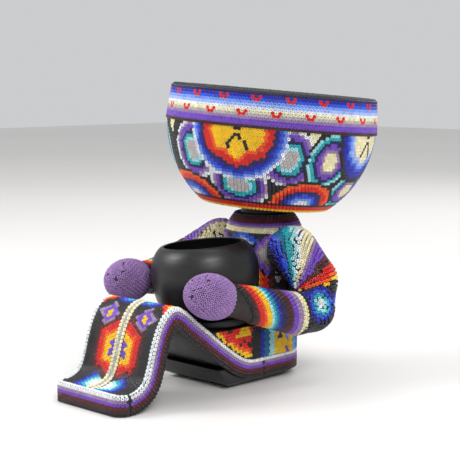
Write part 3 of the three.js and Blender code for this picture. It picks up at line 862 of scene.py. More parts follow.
def limb_rows(balls, lead, pivot, pitch, rise):
    """Rows of seats in planes that fan about a pivot, a row's width apart along the limb's far side."""
    line, ahead = smooth_path(np.vstack([[*lead, balls[0, 3]], balls]), 200)
    outward = line - pivot
    outward -= ahead * (outward * ahead).sum(1, keepdims=True)
    outward /= np.linalg.norm(outward, axis=1, keepdims=True)
    reach = balls[:, 3].mean()
    outer = line + outward * reach
    lengths = np.concatenate([[0], np.cumsum(np.linalg.norm(np.diff(outer, axis=0), axis=1))])
    turn = np.linspace(0, 2 * math.pi, 97)
    count = round(lengths[-1] / rise)
    rows = []
    for k in range(count + 1):
        along = lengths[-1] * k / count
        far, forward = (
            np.stack([np.interp(along, lengths, column) for column in a.T]) for a in (outer, ahead)
        )
        up = (far - pivot) / np.linalg.norm(far - pivot)
        side = np.cross(forward, up)
        side /= np.linalg.norm(side)
        spokes = np.cos(turn)[:, None] * up + np.sin(turn)[:, None] * side
        middle = far - up * reach
        length = np.full(len(turn), reach)
        for _ in range(16):
            away = limb_distance(middle + spokes * length[:, None], balls) + SINK
            length = np.clip(length - 0.9 * away, 0.5, 2 * reach)
        at = middle + spokes * length[:, None]
        out = limb_normals(at, balls)
        where = np.stack([np.degrees(turn), np.full_like(turn, k)], 1)
        rows.append(strung(at, out, where, pitch, 0.5 * (k % 2), True))
    seats = joined(rows)
    return seats.kept(np.abs(limb_distance(seats.at, balls) + SINK) < 0.25)


def limb_scatter(balls):
    """Dense places all over a limb's surface, with their normals."""
    steps_between = [
        a + (b - a) * share for a, b in zip(balls, balls[1:]) for share in np.linspace(0, 1, 6)
    ]
    at = np.concatenate([ball[:3] + scatter(900) * ball[3] for ball in steps_between])
    for _ in range(8):
        at = at - limb_normals(at, balls) * (limb_distance(at, balls) + SINK)[:, None]
    return at, limb_normals(at, balls)


def in_torso(points, margin):
    stations = torso_stations()[::-1]
    y, half_x, half_y = (np.interp(points[:, 2], stations[:, 0], stations[:, k]) for k in (1, 2, 3))
    inside = (points[:, 0] / (half_x + margin)) ** 2
    inside = inside + ((points[:, 1] - y) / (half_y + margin)) ** 2 < 1
    return inside & (points[:, 2] < COLLAR_TOP + margin)


SLEEVE_ROWS = (
    "black", "black", "navy", "deep_blue", "blue", "teal", "turquoise", "cyan", "white", "cream",
    "cream", "mauve", "purple", "purple", "maroon", "brown", "red", "red", "orange", "yellow",
    "black", "black", "navy", "deep_blue", "blue", "cyan", "black",
)
FOREARM_ROWS = (
    "black", "white", "black", "black", "cream", "cream", "mauve", "purple", "purple", "maroon",
    "brown", "brown", "navy", "navy", "deep_blue", "teal", "turquoise", "cyan", "yellow",
    "orange", "red", "red", "maroon", "brown", "black",
)
BURST = (
    (2.4, "white"), (4.2, "cyan"), (5.9, "turquoise"), (7.6, "blue"), (9.2, "deep_blue"),
    (10.8, "navy"),
)


FAN_FROM = 138.0  # bearing, about the crease, of the sleeve stripe next to the shirt
FAN_STEP = 6.2


def row_tones(names, row, rows):
    share = np.clip(row / max(rows, 1), 0, 1)
    pick = np.clip(np.rint(share * (len(names) - 1)).astype(int), 0, len(names) - 1)
    return tones(*names)[pick]


def build_arm(arm, side_name):
    """One arm's sleeve, forearm and hand."""
    use = settings()
    rise = use.pitch * use.nesting
    side = arm["side"]
    sleeve, forearm = arm["sleeve"], arm["forearm"]
    start = sleeve[-1, :3]

    def behind_start(points):
        return (points - start) @ arm["back"]

    lead = [side * 12.0, -3.0, 84.0]
    seats = limb_rows(sleeve, lead, np.array(arm["crease"]), use.pitch, rise)
    mask = ~in_torso(seats.at, 0.2)
    near_forearm = limb_distance(seats.at, forearm) < 0.35 - SINK
    mask &= ~(near_forearm & (behind_start(seats.at) < 0.3))
    seats = spaced(seats.kept(mask), use.pitch * use.crowding)
    at, out = limb_scatter(sleeve)
    mask = ~in_torso(at, 0.2) & (np.abs(limb_distance(at, sleeve) + SINK) < 0.1)
    mask &= ~((limb_distance(at, forearm) < 0.35 - SINK) & (behind_start(at) < 0.3))
    seats = filled(seats, at[mask], out[mask], use.pitch * use.infill)
    from_crease = seats.at - arm["crease"]
    sideways = (from_crease[:, 0] * side + from_crease[:, 1]) * math.sqrt(0.5)
    turned = FAN_FROM - np.degrees(np.arctan2(from_crease[:, 2], sideways))
    row = np.clip(turned / FAN_STEP, 0, len(SLEEVE_ROWS) - 1).astype(int)
    tone = tones(*SLEEVE_ROWS)[row]
    tone = paint(steps(np.linalg.norm(seats.at - arm["burst"], axis=1), *BURST), tone)
    lay_beads(f"{side_name}_sleeve_glass", seats, tone, "sleeve_beads")

    back = arm["back"]
    lead = start + back * 4
    beside = start + np.array([0, 0, -60.0])
    seats = limb_rows(forearm, lead, beside, use.pitch, use.pitch)
    rows = seats.where[:, 1].max()
    to_wrist = (seats.at - forearm[-1, :3]) @ back
    seats = seats.kept((behind_start(seats.at) < 0.6) & (to_wrist > 0.2))
    tone = row_tones(FOREARM_ROWS, seats.where[:, 1], rows)
    spots = (tone == TONE["white"]) & ((seats.where[:, 0] // 24) % 2 == 0)
    tone = np.where(spots, TONE["black"], tone)
    lay_beads(f"{side_name}_forearm_glass", seats, tone, "forearm_beads")
    build_hand(arm, side_name)


def build_hand(arm, side_name):
    """An egg of matte beads in rings about its long axis."""
    use = settings()
    rise = use.pitch * use.nesting
    back = arm["back"]
    side = np.cross(back, [0, 0, 1.0])
    side /= np.linalg.norm(side)
    up = np.cross(side, back)
    long, wide = HAND_LONG / 2 - SINK, HAND - SINK
    angles = np.linspace(0, math.pi, 200)
    profile = np.stack([-long * np.cos(angles), wide * np.sin(angles)], 1)
    lengths = np.concatenate([[0], np.cumsum(np.linalg.norm(np.diff(profile, axis=0), axis=1))])
    turn = np.linspace(0, 2 * math.pi, 73)
    rows = []
    count = int(lengths[-1] / rise)
    for k in range(count):
        a = np.interp((k + 0.15) * rise, lengths, angles)
        ring = (
            -long * math.cos(a) * back
            + wide * math.sin(a) * (np.cos(turn)[:, None] * side + np.sin(turn)[:, None] * up)
        )
        out = ring @ np.outer(back, back) / long**2 + (ring - np.outer(ring @ back, back)) / wide**2
        out /= np.linalg.norm(out, axis=1, keepdims=True)
        where = np.stack([np.degrees(turn), np.full_like(turn, k)], 1)
        rows.append(strung(arm["hand"] + ring, out, where, use.pitch, 0.5 * (k % 2), True))
    seats = joined(rows)
    seats = spaced(seats, use.pitch * use.crowding)
    ball = scatter(4000)
    along = (ball @ back)[:, None] * back
    at = along * long + (ball - along) * wide
    out = along / long + (ball - along) / wide
    out /= np.linalg.norm(out, axis=1, keepdims=True)
    seats = filled(seats, arm["hand"] + at, out, use.pitch * use.infill)
    past_wrist = (seats.at - arm["forearm"][-1, :3]) @ back > -0.4
    seats = seats.kept(~past_wrist)
    tone = np.full(len(seats.at), TONE["lavender"])
    lay_beads(f"{side_name}_hand_glass", seats, tone, "hand_beads", matte=1.0)


# ---------------------------------------------------------------- legs and hips
def leg_points():
    """The legs' top line from the toes over the knees to the hips, as y and z."""
    return np.array(
        [
            (TOE_FRONT, LEG_THICK + 0.1),
            (-126.5, 10.8),
            (-119.5, 14.3),
            (-115.7, 22.2),
            (-112.8, 32.1),
            (-109.0, 41.4),
            (-103.8, 48.4),
            (-96.8, 51.3),
            (-89.8, 48.4),
            (-82.2, 42.3),
            (-71.1, 34.0),
            (-58.3, 24.4),
            (-46.6, 16.9),
            (-39.6, 14.6),
            (-33.8, HIP_EDGE),
            (-29.2, HIP_EDGE),
        ]
    )


def catmull(points, each):
    """A centripetal Catmull-Rom curve through the points."""
    ends = np.concatenate([[2 * points[0] - points[1]], points, [2 * points[-1] - points[-2]]])
    found = []
    for p0, p1, p2, p3 in zip(ends, ends[1:], ends[2:], ends[3:]):
        pairs = ((p0, p1), (p1, p2), (p2, p3))
        t = np.cumsum([0] + [math.sqrt(np.linalg.norm(b - a)) for a, b in pairs])
        for u in np.linspace(t[1], t[2], each, endpoint=False):
            a1 = (p0 * (t[1] - u) + p1 * (u - t[0])) / (t[1] - t[0])
            a2 = (p1 * (t[2] - u) + p2 * (u - t[1])) / (t[2] - t[1])
            a3 = (p2 * (t[3] - u) + p3 * (u - t[2])) / (t[3] - t[2])
            b1 = (a1 * (t[2] - u) + a2 * (u - t[0])) / (t[2] - t[0])
            b2 = (a2 * (t[3] - u) + a3 * (u - t[1])) / (t[3] - t[1])
            found.append((b1 * (t[2] - u) + b2 * (u - t[1])) / (t[2] - t[1]))
    found.append(points[-1])
    return np.array(found)


LEG_LINE = catmull(leg_points(), 16)
_ahead = np.gradient(LEG_LINE, axis=0)
_ahead /= np.linalg.norm(_ahead, axis=1, keepdims=True)
LEG_UP = np.stack([-_ahead[:, 1], _ahead[:, 0]], 1)
LEG_ALONG = np.concatenate([[0], np.cumsum(np.linalg.norm(np.diff(LEG_LINE, axis=0), axis=1))])


def leg_top_rows(x_low, x_high, count, rise_over):
    """Rows that run along the legs' top, count of them from one x to another."""
    use = settings()
    rows = []
    for k in range(count):
        x = x_low + (x_high - x_low) * (k + 0.5) / count
        at = np.stack(
            [np.full(len(LEG_LINE), x), LEG_LINE[:, 0], LEG_LINE[:, 1]], 1
        )
        out = np.stack([np.zeros(len(LEG_LINE)), LEG_UP[:, 0], LEG_UP[:, 1]], 1)
        where = np.stack([np.full(len(LEG_LINE), x), LEG_ALONG], 1)
        inset = LEG_LINE[:, 0] > toe_edge_y(abs(x)) + 1.2
        inset &= LEG_LINE[:, 0] < LAP_FRONT - 0.6
        at = at + out * (rise_over - SINK)
        rows.append(strung(at[inset], out[inset], where[inset], use.pitch, 0.5 * (k % 2), False))
    return joined(rows)


def toe_edge_y(x):
    """Where the rounded outline of the toes lies at a distance from the middle."""
    beyond = max(0.0, x - (LEG_HALF - TOE_CORNER))
    return TOE_FRONT + TOE_CORNER - math.sqrt(max(0.0, TOE_CORNER**2 - beyond**2))


def diamond(across, along, width, length):
    return np.maximum(np.abs(across) / width, 0) + np.abs(along) / length


FOOT_FAN = (
    (8.0, "white"), (10.4, "cyan"), (12.4, "turquoise"), (14.4, "blue"), (16.4, "deep_blue"),
    (18.0, "navy"),
)
SHIN_ROUNDEL = (
    (6.4, "purple"), (10.8, "yellow"), (13.0, "orange"), (16.6, "red"), (18.6, "maroon"),
    (20.4, "brown"),
)
LAP_ROUNDEL = (
    (2.6, "yellow"), (4.6, "orange"), (6.8, "red"), (8.4, "black"), (10.2, "deep_blue"),
    (11.8, "cyan"),
)


def leg_tone(seats):
    """A fan on the foot, a roundel on the shin, a starred diamond at the knee and corner wedges."""
    x, s = np.abs(seats.where[:, 0]), seats.where[:, 1]
    tone = np.full(x.shape, TONE["black"])
    tone = paint(steps(np.hypot(x, (s - 10.0) * 1.5), *FOOT_FAN), tone)
    bearing = np.arctan2(s - 33.0, x)
    roundel = np.hypot(x, (s - 33.0) * 1.1) + 1.1 * np.cos(6 * bearing)
    tone = paint(steps(roundel, *SHIN_ROUNDEL), tone)
    knee = diamond(x - 14.0, s - 51.0, 8.4, 7.4)
    tone = paint(steps(knee, (0.36, "yellow"), (0.72, "purple"), (0.98, "mauve")), tone)
    wedge = diamond(x - 23.8, s - 63.5, 7.0, 7.5)
    tone = paint(steps(wedge, (0.4, "yellow"), (0.75, "orange"), (1.0, "red")), tone)
    cap = np.hypot((x - 8) / 9.0, (s - 63.5) / 4.6)
    tone = paint(steps(cap, (0.35, "turquoise"), (0.65, "blue"), (1.0, "deep_blue")), tone)
    return paint(steps(np.hypot(x - 13.0, s - 82.0), *LAP_ROUNDEL), tone)


def offset_line(offset):
    """The leg line moved out from itself, without the stretches that fold back."""
    line = LEG_LINE + LEG_UP * offset
    forward = (np.gradient(line, axis=0) * _ahead).sum(1) > 0
    return line, forward


TRIM_ROWS = ("white", "mauve", "purple", "maroon", "brown", "black")


def trim_heights():
    """How far each of the trim's rows lies below the top."""
    count = len(TRIM_ROWS)
    return [LEG_THICK * (k + 0.5) / count for k in range(count)]


def leg_side_rows(side):
    use = settings()
    rows = []
    for k, below in enumerate(trim_heights()):
        line, forward = offset_line(-below)
        forward &= (LEG_ALONG > TOE_CORNER) & (line[:, 1] > 0.5)
        at = np.stack([np.full(len(line), side * (LEG_HALF - SINK)), line[:, 0], line[:, 1]], 1)
        out = np.tile([side, 0.0, 0.0], (len(line), 1))
        where = np.stack([np.full(len(line), k), LEG_ALONG], 1)
        rows.append(strung(at[forward], out[forward], where[forward], use.pitch, 0.5 * (k % 2), False))
    return joined(rows)


def toe_rows():
    """Rows across the toes and round both corners."""
    use = settings()
    half, corner = LEG_HALF - SINK, TOE_CORNER - SINK
    quarter = np.radians(np.linspace(0, 90, 12))
    middle_x, middle_y = LEG_HALF - TOE_CORNER, TOE_FRONT + TOE_CORNER
    bend = np.stack([middle_x + corner * np.sin(quarter), middle_y - corner * np.cos(quarter)], 1)
    right = bend
    left = bend[::-1] * [-1, 1]
    outline = np.concatenate([left, right])
    outline[0, 0], outline[-1, 0] = -half, half
    centre = np.clip(outline[:, 0], -middle_x, middle_x)
    out = np.stack([outline[:, 0] - centre, outline[:, 1] - middle_y, np.zeros(len(outline))], 1)
    out /= np.linalg.norm(out, axis=1, keepdims=True)
    rows = []
    for k, below in enumerate(trim_heights()):
        height = np.interp(outline[:, 1], LEG_LINE[:, 0], LEG_LINE[:, 1]) - below
        at = np.stack([outline[:, 0], outline[:, 1], height], 1)
        where = np.stack([np.full(len(outline), k), outline[:, 0]], 1)
        rows.append(strung(at, out, where, use.pitch, 0.5 * (k % 2), False))
    return joined(rows)


def top_edge_rows():
    """One white row along the top of the edge trims, with its ends round the toes."""
    use = settings()
    rows = []
    for side in (-1, 1):
        inset = (LEG_ALONG > TOE_CORNER + 0.6) & (LEG_LINE[:, 0] < LAP_FRONT + 3)
        line = LEG_LINE + LEG_UP * -SINK * 0.9
        at = np.stack([np.full(len(line), side * (LEG_HALF - 1.25)), line[:, 0], line[:, 1]], 1)
        out = np.stack([np.zeros(len(line)), LEG_UP[:, 0], LEG_UP[:, 1]], 1)
        where = np.stack([np.zeros(len(line)), LEG_ALONG], 1)
        rows.append(strung(at[inset], out[inset], where[inset], use.pitch, 0, False))
    quarter = np.radians(np.linspace(0, 90, 12))
    corner = TOE_CORNER - 1.25
    middle_x, middle_y = LEG_HALF - TOE_CORNER, TOE_FRONT + TOE_CORNER
    bend = np.stack([middle_x + corner * np.sin(quarter), middle_y - corner * np.cos(quarter)], 1)
    outline = np.concatenate([bend[::-1] * [-1, 1], bend])
    height = np.interp(outline[:, 1], LEG_LINE[:, 0], LEG_LINE[:, 1]) - SINK * 0.9
    at = np.stack([outline[:, 0], outline[:, 1], height], 1)
    out = np.tile([0.0, 0, 1], (len(at), 1))
    where = np.zeros((len(at), 2))
    rows.append(strung(at, out, where, use.pitch, 0, False))
    return joined(rows)


def hip_path(inset):
    """The hips' outline in plan from the left front round the back to the right front, with normals."""
    half, back, corner = LEG_HALF - inset, HIP_BACK - inset, HIP_CORNER - inset
    turn = np.radians(np.linspace(0, 90, 24))
    left = np.stack([half - corner + corner * np.cos(turn), back - corner + corner * np.sin(turn)], 1)
    left_out = np.stack([np.cos(turn), np.sin(turn)], 1)
    right, right_out = left[::-1] * [-1, 1], left_out[::-1] * [-1, 1]
    front = np.linspace(LAP_FRONT + 0.8, back - corner, 60, endpoint=False)
    side = np.stack([np.full(60, half), front], 1)
    side_out = np.tile([1.0, 0.0], (60, 1))
    line = np.concatenate([side, left, right, side[::-1] * [-1, 1]])
    out = np.concatenate([side_out, left_out, right_out, side_out[::-1] * [-1, 1]])
    return line, out


def hip_rows(heights, marks):
    use = settings()
    line, out = hip_path(SINK)
    rows = []
    for k, (height, mark) in enumerate(zip(heights, marks)):
        lengths = np.concatenate([[0], np.cumsum(np.linalg.norm(np.diff(line, axis=0), axis=1))])
        at = np.column_stack([line, np.full(len(line), height)])
        normals = np.column_stack([out, np.zeros(len(out))])
        where = np.column_stack([np.full(len(line), mark), lengths - lengths[-1] / 2])
        rows.append(strung(at, normals, where, use.pitch, 0.5 * (k % 2), False))
    return joined(rows)


def above_legs(seats):
    line = np.interp(seats.at[:, 1], LEG_LINE[:, 0], LEG_LINE[:, 1], right=HIP_EDGE)
    return seats.at[:, 2] > np.maximum(line + 1.1, HIP_EDGE + 0.2)


SIDE_BARS = (
    (-39.8, "maroon"), (-31.6, "black"), (-28.8, "deep_blue"), (-25.0, "teal"), (-20.7, "cyan"),
    (-5.3, "yellow"), (-3.0, "light_blue"), (-0.8, "turquoise"), (1.6, "blue"),
    (3.6, "deep_blue"),
)
SIDE_SPOTS = ((-15.7, 25.0, "navy"), (-9.7, 22.9, "light_blue"), (-10.1, 16.9, "purple"))
THIGH_ROWS = ((1.8, "yellow"), (3.5, "orange"), (6.4, "red"), (9.0, "maroon"))
HIP_ROSETTE = (
    (2.4, "yellow"), (4.4, "orange"), (6.6, "red"), (8.2, "black"), (10.0, "purple"),
    (11.6, "mauve"),
)


def hip_tone(seats):
    """Rows along the thighs under a red wedge, bars, a yellow field with spots and a rosette behind."""
    x, y, z = seats.at.T
    tone = np.full(x.shape, TONE["black"])
    side = np.abs(x) > LEG_HALF - HIP_CORNER * 0.35
    line = np.interp(y, LEG_LINE[:, 0], LEG_LINE[:, 1])
    rise = (z - line - 1.5) * 0.82
    tone = paint(np.where(side & (y < -39.8), steps(rise, *THIGH_ROWS), -1), tone)
    ticks = side & (y < -39.8) & (rise > 3.5) & (rise < 8.0) & ((y + z) % 6.3 < 1.7)
    tone = np.where(ticks, TONE["black"], tone)
    low = np.where(y < -44.7, 31.6 + (y + 59.7) * 0.227, 35.0 - (y + 44.7) * 0.31)
    wedge = side & (y > -60) & (y < -34.3) & (z > np.where(y < -44, 27.2, 25.6)) & (z < low)
    tone = np.where(wedge, TONE["red"], tone)
    core = wedge & (z > 28.4) & (np.abs(y + 45.2) < (34.4 - z) * 1.6)
    tone = np.where(core, TONE["yellow"], tone)
    tone = paint(np.where(side & (y > -39.8), steps(y, *SIDE_BARS), -1), tone)
    tone = np.where(side & (z > 30.5) & (y > -34.3), TONE["black"], tone)
    for middle, height, name in SIDE_SPOTS:
        tone = np.where(side & (np.hypot(y - middle, z - height) < 1.6), TONE[name], tone)
    behind = ~side & (y > 0)
    return paint(np.where(behind, steps(np.hypot(x, z - 24), *HIP_ROSETTE), -1), tone)


# ---------------------------------------------------------------- clay
def lathed(name, profile, segments, place):
    """A closed or open line of radius and height, spun about its axis and then put in place."""
    bm = bmesh.new()
    line = [bm.verts.new((r, 0, z)) for r, z in profile]
    edges = [bm.edges.new(pair) for pair in zip(line, line[1:])]
    bmesh.ops.spin(
        bm,
        geom=line + edges,
        cent=(0, 0, 0),
        axis=(0, 0, 1),
        angle=2 * math.pi,
        steps=segments,
        use_merge=True,
    )
    bmesh.ops.remove_doubles(bm, verts=bm.verts, dist=1e-4)
    bmesh.ops.recalc_face_normals(bm, faces=bm.faces)
    mesh = bpy.data.meshes.new(name)
    bm.to_mesh(mesh)
    bm.free()
    return settled_mesh(mesh, place)


def settled_mesh(mesh, place):
    """A mesh's points put in place in mm, then moved to the row frame, with smooth shading."""
    co = np.empty(len(mesh.vertices) * 3)
    mesh.vertices.foreach_get("co", co)
    mesh.vertices.foreach_set("co", to_row(place(co.reshape(-1, 3))).ravel())
    mesh.polygons.foreach_set("use_smooth", np.ones(len(mesh.polygons), bool))
    mesh.update()
    return mesh


LEAST_SHARE = 2.05  # a side is at least this many times the part of it that an arc takes


def rounded(points, radius, count=6):
    """A line with each inner corner replaced by an arc that starts a radius away from it."""
    points = [np.array(p, float) for p in points]
    found = [points[0]]
    for before, corner, after in zip(points, points[1:], points[2:]):
        sides = np.linalg.norm(corner - before), np.linalg.norm(after - corner)
        reach = min(radius, sides[0] / LEAST_SHARE, sides[1] / LEAST_SHARE)
        start = corner + (before - corner) / np.linalg.norm(before - corner) * reach
        end = corner + (after - corner) / np.linalg.norm(after - corner) * reach
        for t in np.linspace(0, 1, count):
            found.append((1 - t) ** 2 * start + 2 * t * (1 - t) * corner + t * t * end)
    found.append(points[-1])
    return found


def clay_piece(name, mesh, *nodes):
    mesh.materials.append(clay_material())
    piece = place_piece(bpy.data.objects.new(name, mesh))
    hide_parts(*nodes)
    return piece


def arc(radius, low, high, count):
    return [
        (radius * math.cos(a), -WAIST_DROP - radius * math.sin(a)) for a in np.linspace(low, high, count)
    ]


def bowl_clay():
    """The head bowl's shell, with a soft lip."""
    outer = BOWL_RADIUS - CLAD - 0.3
    inner = outer - BOWL_WALL
    deep = FOOT_DROP - CLAD - 0.3
    floor = deep - BOWL_WALL
    lip = RIM_RADIUS - CLAD - 0.3
    inside = arc(inner, 0, math.asin((floor - WAIST_DROP) / inner), 24)
    outside = arc(outer, 0, math.asin((deep - WAIST_DROP) / outer), 24)[::-1]
    edge = rounded([outside[-1], (lip, 0), (lip - BOWL_WALL + 1, 0), inside[0]], 1.6)
    profile = [(0, -deep), *outside[:-1], *[tuple(p) for p in edge], *inside[1:], (0, -floor)]
    mesh = lathed("head_bowl_clay", profile, 128, on_neck)
    return clay_piece("head_bowl_clay", mesh, "head_bowl")


def neck_clay():
    low = COLLAR_TOP - CLAD + 0.3
    high = NECK_TOP + CLAD - 1.0
    flare = [
        (0, low),
        (NECK_RADIUS, low),
        (NECK_RADIUS, COLLAR_TOP + 0.8),
        (NECK_RADIUS - 0.5, (COLLAR_TOP + NECK_TOP) / 2),
        (NECK_RADIUS, NECK_TOP - 0.6),
        (NECK_RADIUS, high),
        (0, high),
    ]
    mesh = lathed("neck_clay", [tuple(p) for p in rounded(flare, 1.2)], 72, lambda p: p)
    return clay_piece("neck_clay", mesh, "neck")


def on_lap(points):
    turned = tilted(points, -POT_TILT, POT_BELLY, POT_BOTTOM + POT_BELLY)
    return turned + [0, POT_Y, 0]


def pot_side(inset, low, high, count):
    found = []
    for z in np.linspace(low, high, count):
        below = z < POT_BELLY
        reach = POT_BELLY if below else POT_HIGH - POT_BELLY
        end = POT_FOOT if below else POT_MOUTH + POT_WALL / 2
        flat = 0.86 if below else 0.9
        t = min(abs(z - POT_BELLY) / reach, 1)
        least = math.sqrt(1 - flat)
        share = (math.sqrt(1 - flat * t * t) - least) / (1 - least)
        found.append((end + (POT_RADIUS - end) * share - inset, z))
    return found


def pot_clay():
    """The held pot, thin at the lip and soft at the foot."""
    outside = pot_side(0, 0.9, POT_HIGH - 0.6, 40)
    inside = pot_side(POT_WALL, POT_WALL, POT_HIGH - POT_WALL, 32)[::-1]
    foot = rounded([(0, 0), (POT_FOOT - 0.2, 0), outside[0]], 1.4)
    brim = [(POT_MOUTH + 1.3, POT_HIGH), (POT_MOUTH - 0.1, POT_HIGH - 0.3)]
    lip = rounded([outside[-1], *brim, inside[0]], 1.3)
    profile = [tuple(p) for p in foot[:-1]] + outside + [tuple(p) for p in lip[1:]] + inside[1:]
    profile.append((0, POT_WALL))
    mesh = lathed("pot_clay", profile, 128, on_lap)
    return clay_piece("pot_clay", mesh, "pot")


def leg_clay():
    """The legs' slab between its two bead skins, with softened edges."""
    half = LEG_HALF - CLAD - 0.3
    low, high = -LEG_THICK, -CLAD - 0.3
    inner = CLAD + 0.3

    def place(points):
        along = (points[:, 1] + 0.5) * (LEG_ALONG[-1] - inner) + inner
        y, z, up_y, up_z = (
            np.interp(along, LEG_ALONG, column)
            for column in (LEG_LINE[:, 0], LEG_LINE[:, 1], LEG_UP[:, 0], LEG_UP[:, 1])
        )
        level = np.where(points[:, 2] > 0, high, low)
        return np.stack([points[:, 0] * 2 * half, y + up_y * level, z + up_z * level], 1)

    bm = bmesh.new()
    bmesh.ops.create_grid(bm, x_segments=1, y_segments=140, size=0.5)
    made = bmesh.ops.extrude_face_region(bm, geom=bm.faces[:])
    lifted = [v for v in made["geom"] if isinstance(v, bmesh.types.BMVert)]
    bmesh.ops.translate(bm, verts=lifted, vec=(0, 0, 1))
    bmesh.ops.recalc_face_normals(bm, faces=bm.faces)
    co = place(np.array([v.co for v in bm.verts]))
    for v, p in zip(bm.verts, co):
        v.co = p
    long_edges = [e for e in bm.edges if e.calc_face_angle(0) > 0.9]
    bmesh.ops.bevel(
        bm, geom=long_edges, offset=0.5, segments=2, profile=0.5, affect="EDGES", material=-1
    )
    mesh = bpy.data.meshes.new("leg_clay")
    bm.to_mesh(mesh)
    bm.free()
    return clay_piece("leg_clay", settled_mesh(mesh, lambda p: p), "leg_slab")


def softened(name, node, width):
    """A CAD node's own shape with its sharp edges rounded."""
    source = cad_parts[node]
    bm = bmesh.new()
    bm.from_mesh(source.data)
    bmesh.ops.remove_doubles(bm, verts=bm.verts, dist=1e-6)
    bmesh.ops.dissolve_limit(bm, angle_limit=0.02, verts=bm.verts, edges=bm.edges)
    sharp = [e for e in bm.edges if e.is_manifold and e.calc_face_angle(0) > 0.6]
    bmesh.ops.bevel(
        bm,
        geom=sharp,
        offset=width * MM,
        segments=3,
        profile=0.5,
        affect="EDGES",
        material=-1,
        clamp_overlap=True,
    )
    mesh = bpy.data.meshes.new(name)
    bm.to_mesh(mesh)
    bm.free()
    mesh.materials.clear()
    mesh.polygons.foreach_set("use_smooth", np.ones(len(mesh.polygons), bool))
    mesh.set_sharp_from_angle(angle=math.radians(35))
    return clay_piece(name, mesh, node)


# ---------------------------------------------------------------- properties and operators
class FigureSettings(bpy.types.PropertyGroup):
    """What a user would change about the beads and the clay."""

    pitch: FloatProperty(
        name="Bead size",
        description="Across a bead, in mm",
        default=2.1,
        min=1.5,
        max=3,
    )
    height: FloatProperty(
        name="Bead height",
        description="From the wax to a bead's top, in mm",
        default=0.95,
    )
    hole: FloatProperty(
        name="Hole radius",
        description="Radius of a bead's hole, in mm",
        default=0.42,
    )
    nesting: FloatProperty(
        name="Row spacing",
        description="Distance between rows, in bead sizes",
        default=0.83,
    )
    crowding: FloatProperty(
        name="Least spacing",
        description="Nearest two beads may lie, in sizes",
        default=0.84,
    )
    infill: FloatProperty(
        name="Infill spacing",
        description="Nearest a filling bead may lie, in sizes",
        default=0.74,
    )
    tilt: FloatProperty(name="Tilt", description="How unevenly beads lean, in degrees", default=4.0)
    spread: FloatProperty(
        name="Size spread",
        description="How much beads differ in size",
        default=0.025,
    )
    variation: FloatProperty(
        name="Colour spread",
        description="How much beads of a colour differ",
        default=0.07,
    )
    sides: IntProperty(
        name="Bead sides",
        description="Facets round a bead",
        default=8,
        min=6,
        max=16,
    )
    most: IntProperty(
        name="Beads in a piece",
        description="Most beads in one mesh",
        default=2900,
        min=500,
    )
    seed: IntProperty(name="Seed", description="Start of the random numbers", default=7)
    clay_dark: FloatVectorProperty(
        name="Clay, dark",
        description="sRGB, 0 to 255",
        default=(13, 12, 13),
        size=3,
    )
    clay_light: FloatVectorProperty(
        name="Clay, light",
        description="sRGB, 0 to 255",
        default=(26, 24, 25),
        size=3,
    )
    lens: FloatProperty(name="Lens", description="Focal length of the camera, in mm", default=97.1)


class FIGURE_OT_clay(bpy.types.Operator):
    """Build the clay: bowl, neck, pot, legs, foot, and the cores under the beads"""

    bl_idname = "figure.clay"
    bl_label = "Clay"

    def execute(self, context):
        bowl_clay()
        neck_clay()
        pot_clay()
        leg_clay()
        softened("seat_base_clay", "seat_base", 1.6)
        softened("pot_seat_clay", "pot_seat", 0.5)
        softened("lap_clay", "hips", 0.5)
        for name in ("torso", "left_arm", "right_arm"):
            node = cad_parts[name]
            node.data.materials.clear()
            node.data.materials.append(clay_material())
        return {"FINISHED"}


class FIGURE_OT_wax(bpy.types.Operator):
    """Give every cladding skin the dark wax that its beads are pressed into"""

    bl_idname = "figure.wax"
    bl_label = "Wax"

    def execute(self, context):
        for name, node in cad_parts.items():
            if name.endswith("_beads"):
                node.data.materials.clear()
                node.data.materials.append(wax_material())
        return {"FINISHED"}


class FIGURE_OT_head(bpy.types.Operator):
    """Lay the beads of the head bowl"""

    bl_idname = "figure.head"
    bl_label = "Head beads"

    def execute(self, context):
        seats = band_seats()
        lay_beads("rim_band_glass", seats, band_tone(seats), "band_beads")
        seats = field_seats()
        lay_beads("bowl_field_glass", seats, field_tone(seats), "field_beads")
        seats = foot_seats()
        lay_beads("bowl_foot_glass", seats, foot_tone(seats), "foot_beads")
        return {"FINISHED"}


class FIGURE_OT_shirt(bpy.types.Operator):
    """Lay the beads of the collar and the shirt"""

    bl_idname = "figure.shirt"
    bl_label = "Shirt beads"

    def execute(self, context):
        seats = torso_seats()
        tone = shirt_tone(seats)
        rise = settings().pitch * settings().nesting
        collar = seats.where[:, 1] < len(COLLAR_ROWS) * rise
        lay_beads("collar_glass", seats.kept(collar), tone[collar], "collar_beads")
        lay_beads("shirt_glass", seats.kept(~collar), tone[~collar], "shirt_beads")
        return {"FINISHED"}


class FIGURE_OT_arms(bpy.types.Operator):
    """Lay the beads of the sleeves, the forearms and the hands"""

    bl_idname = "figure.arms"
    bl_label = "Arm beads"

    def execute(self, context):
        build_arm(left_arm(), "left")
        build_arm(right_arm(), "right")
        return {"FINISHED"}


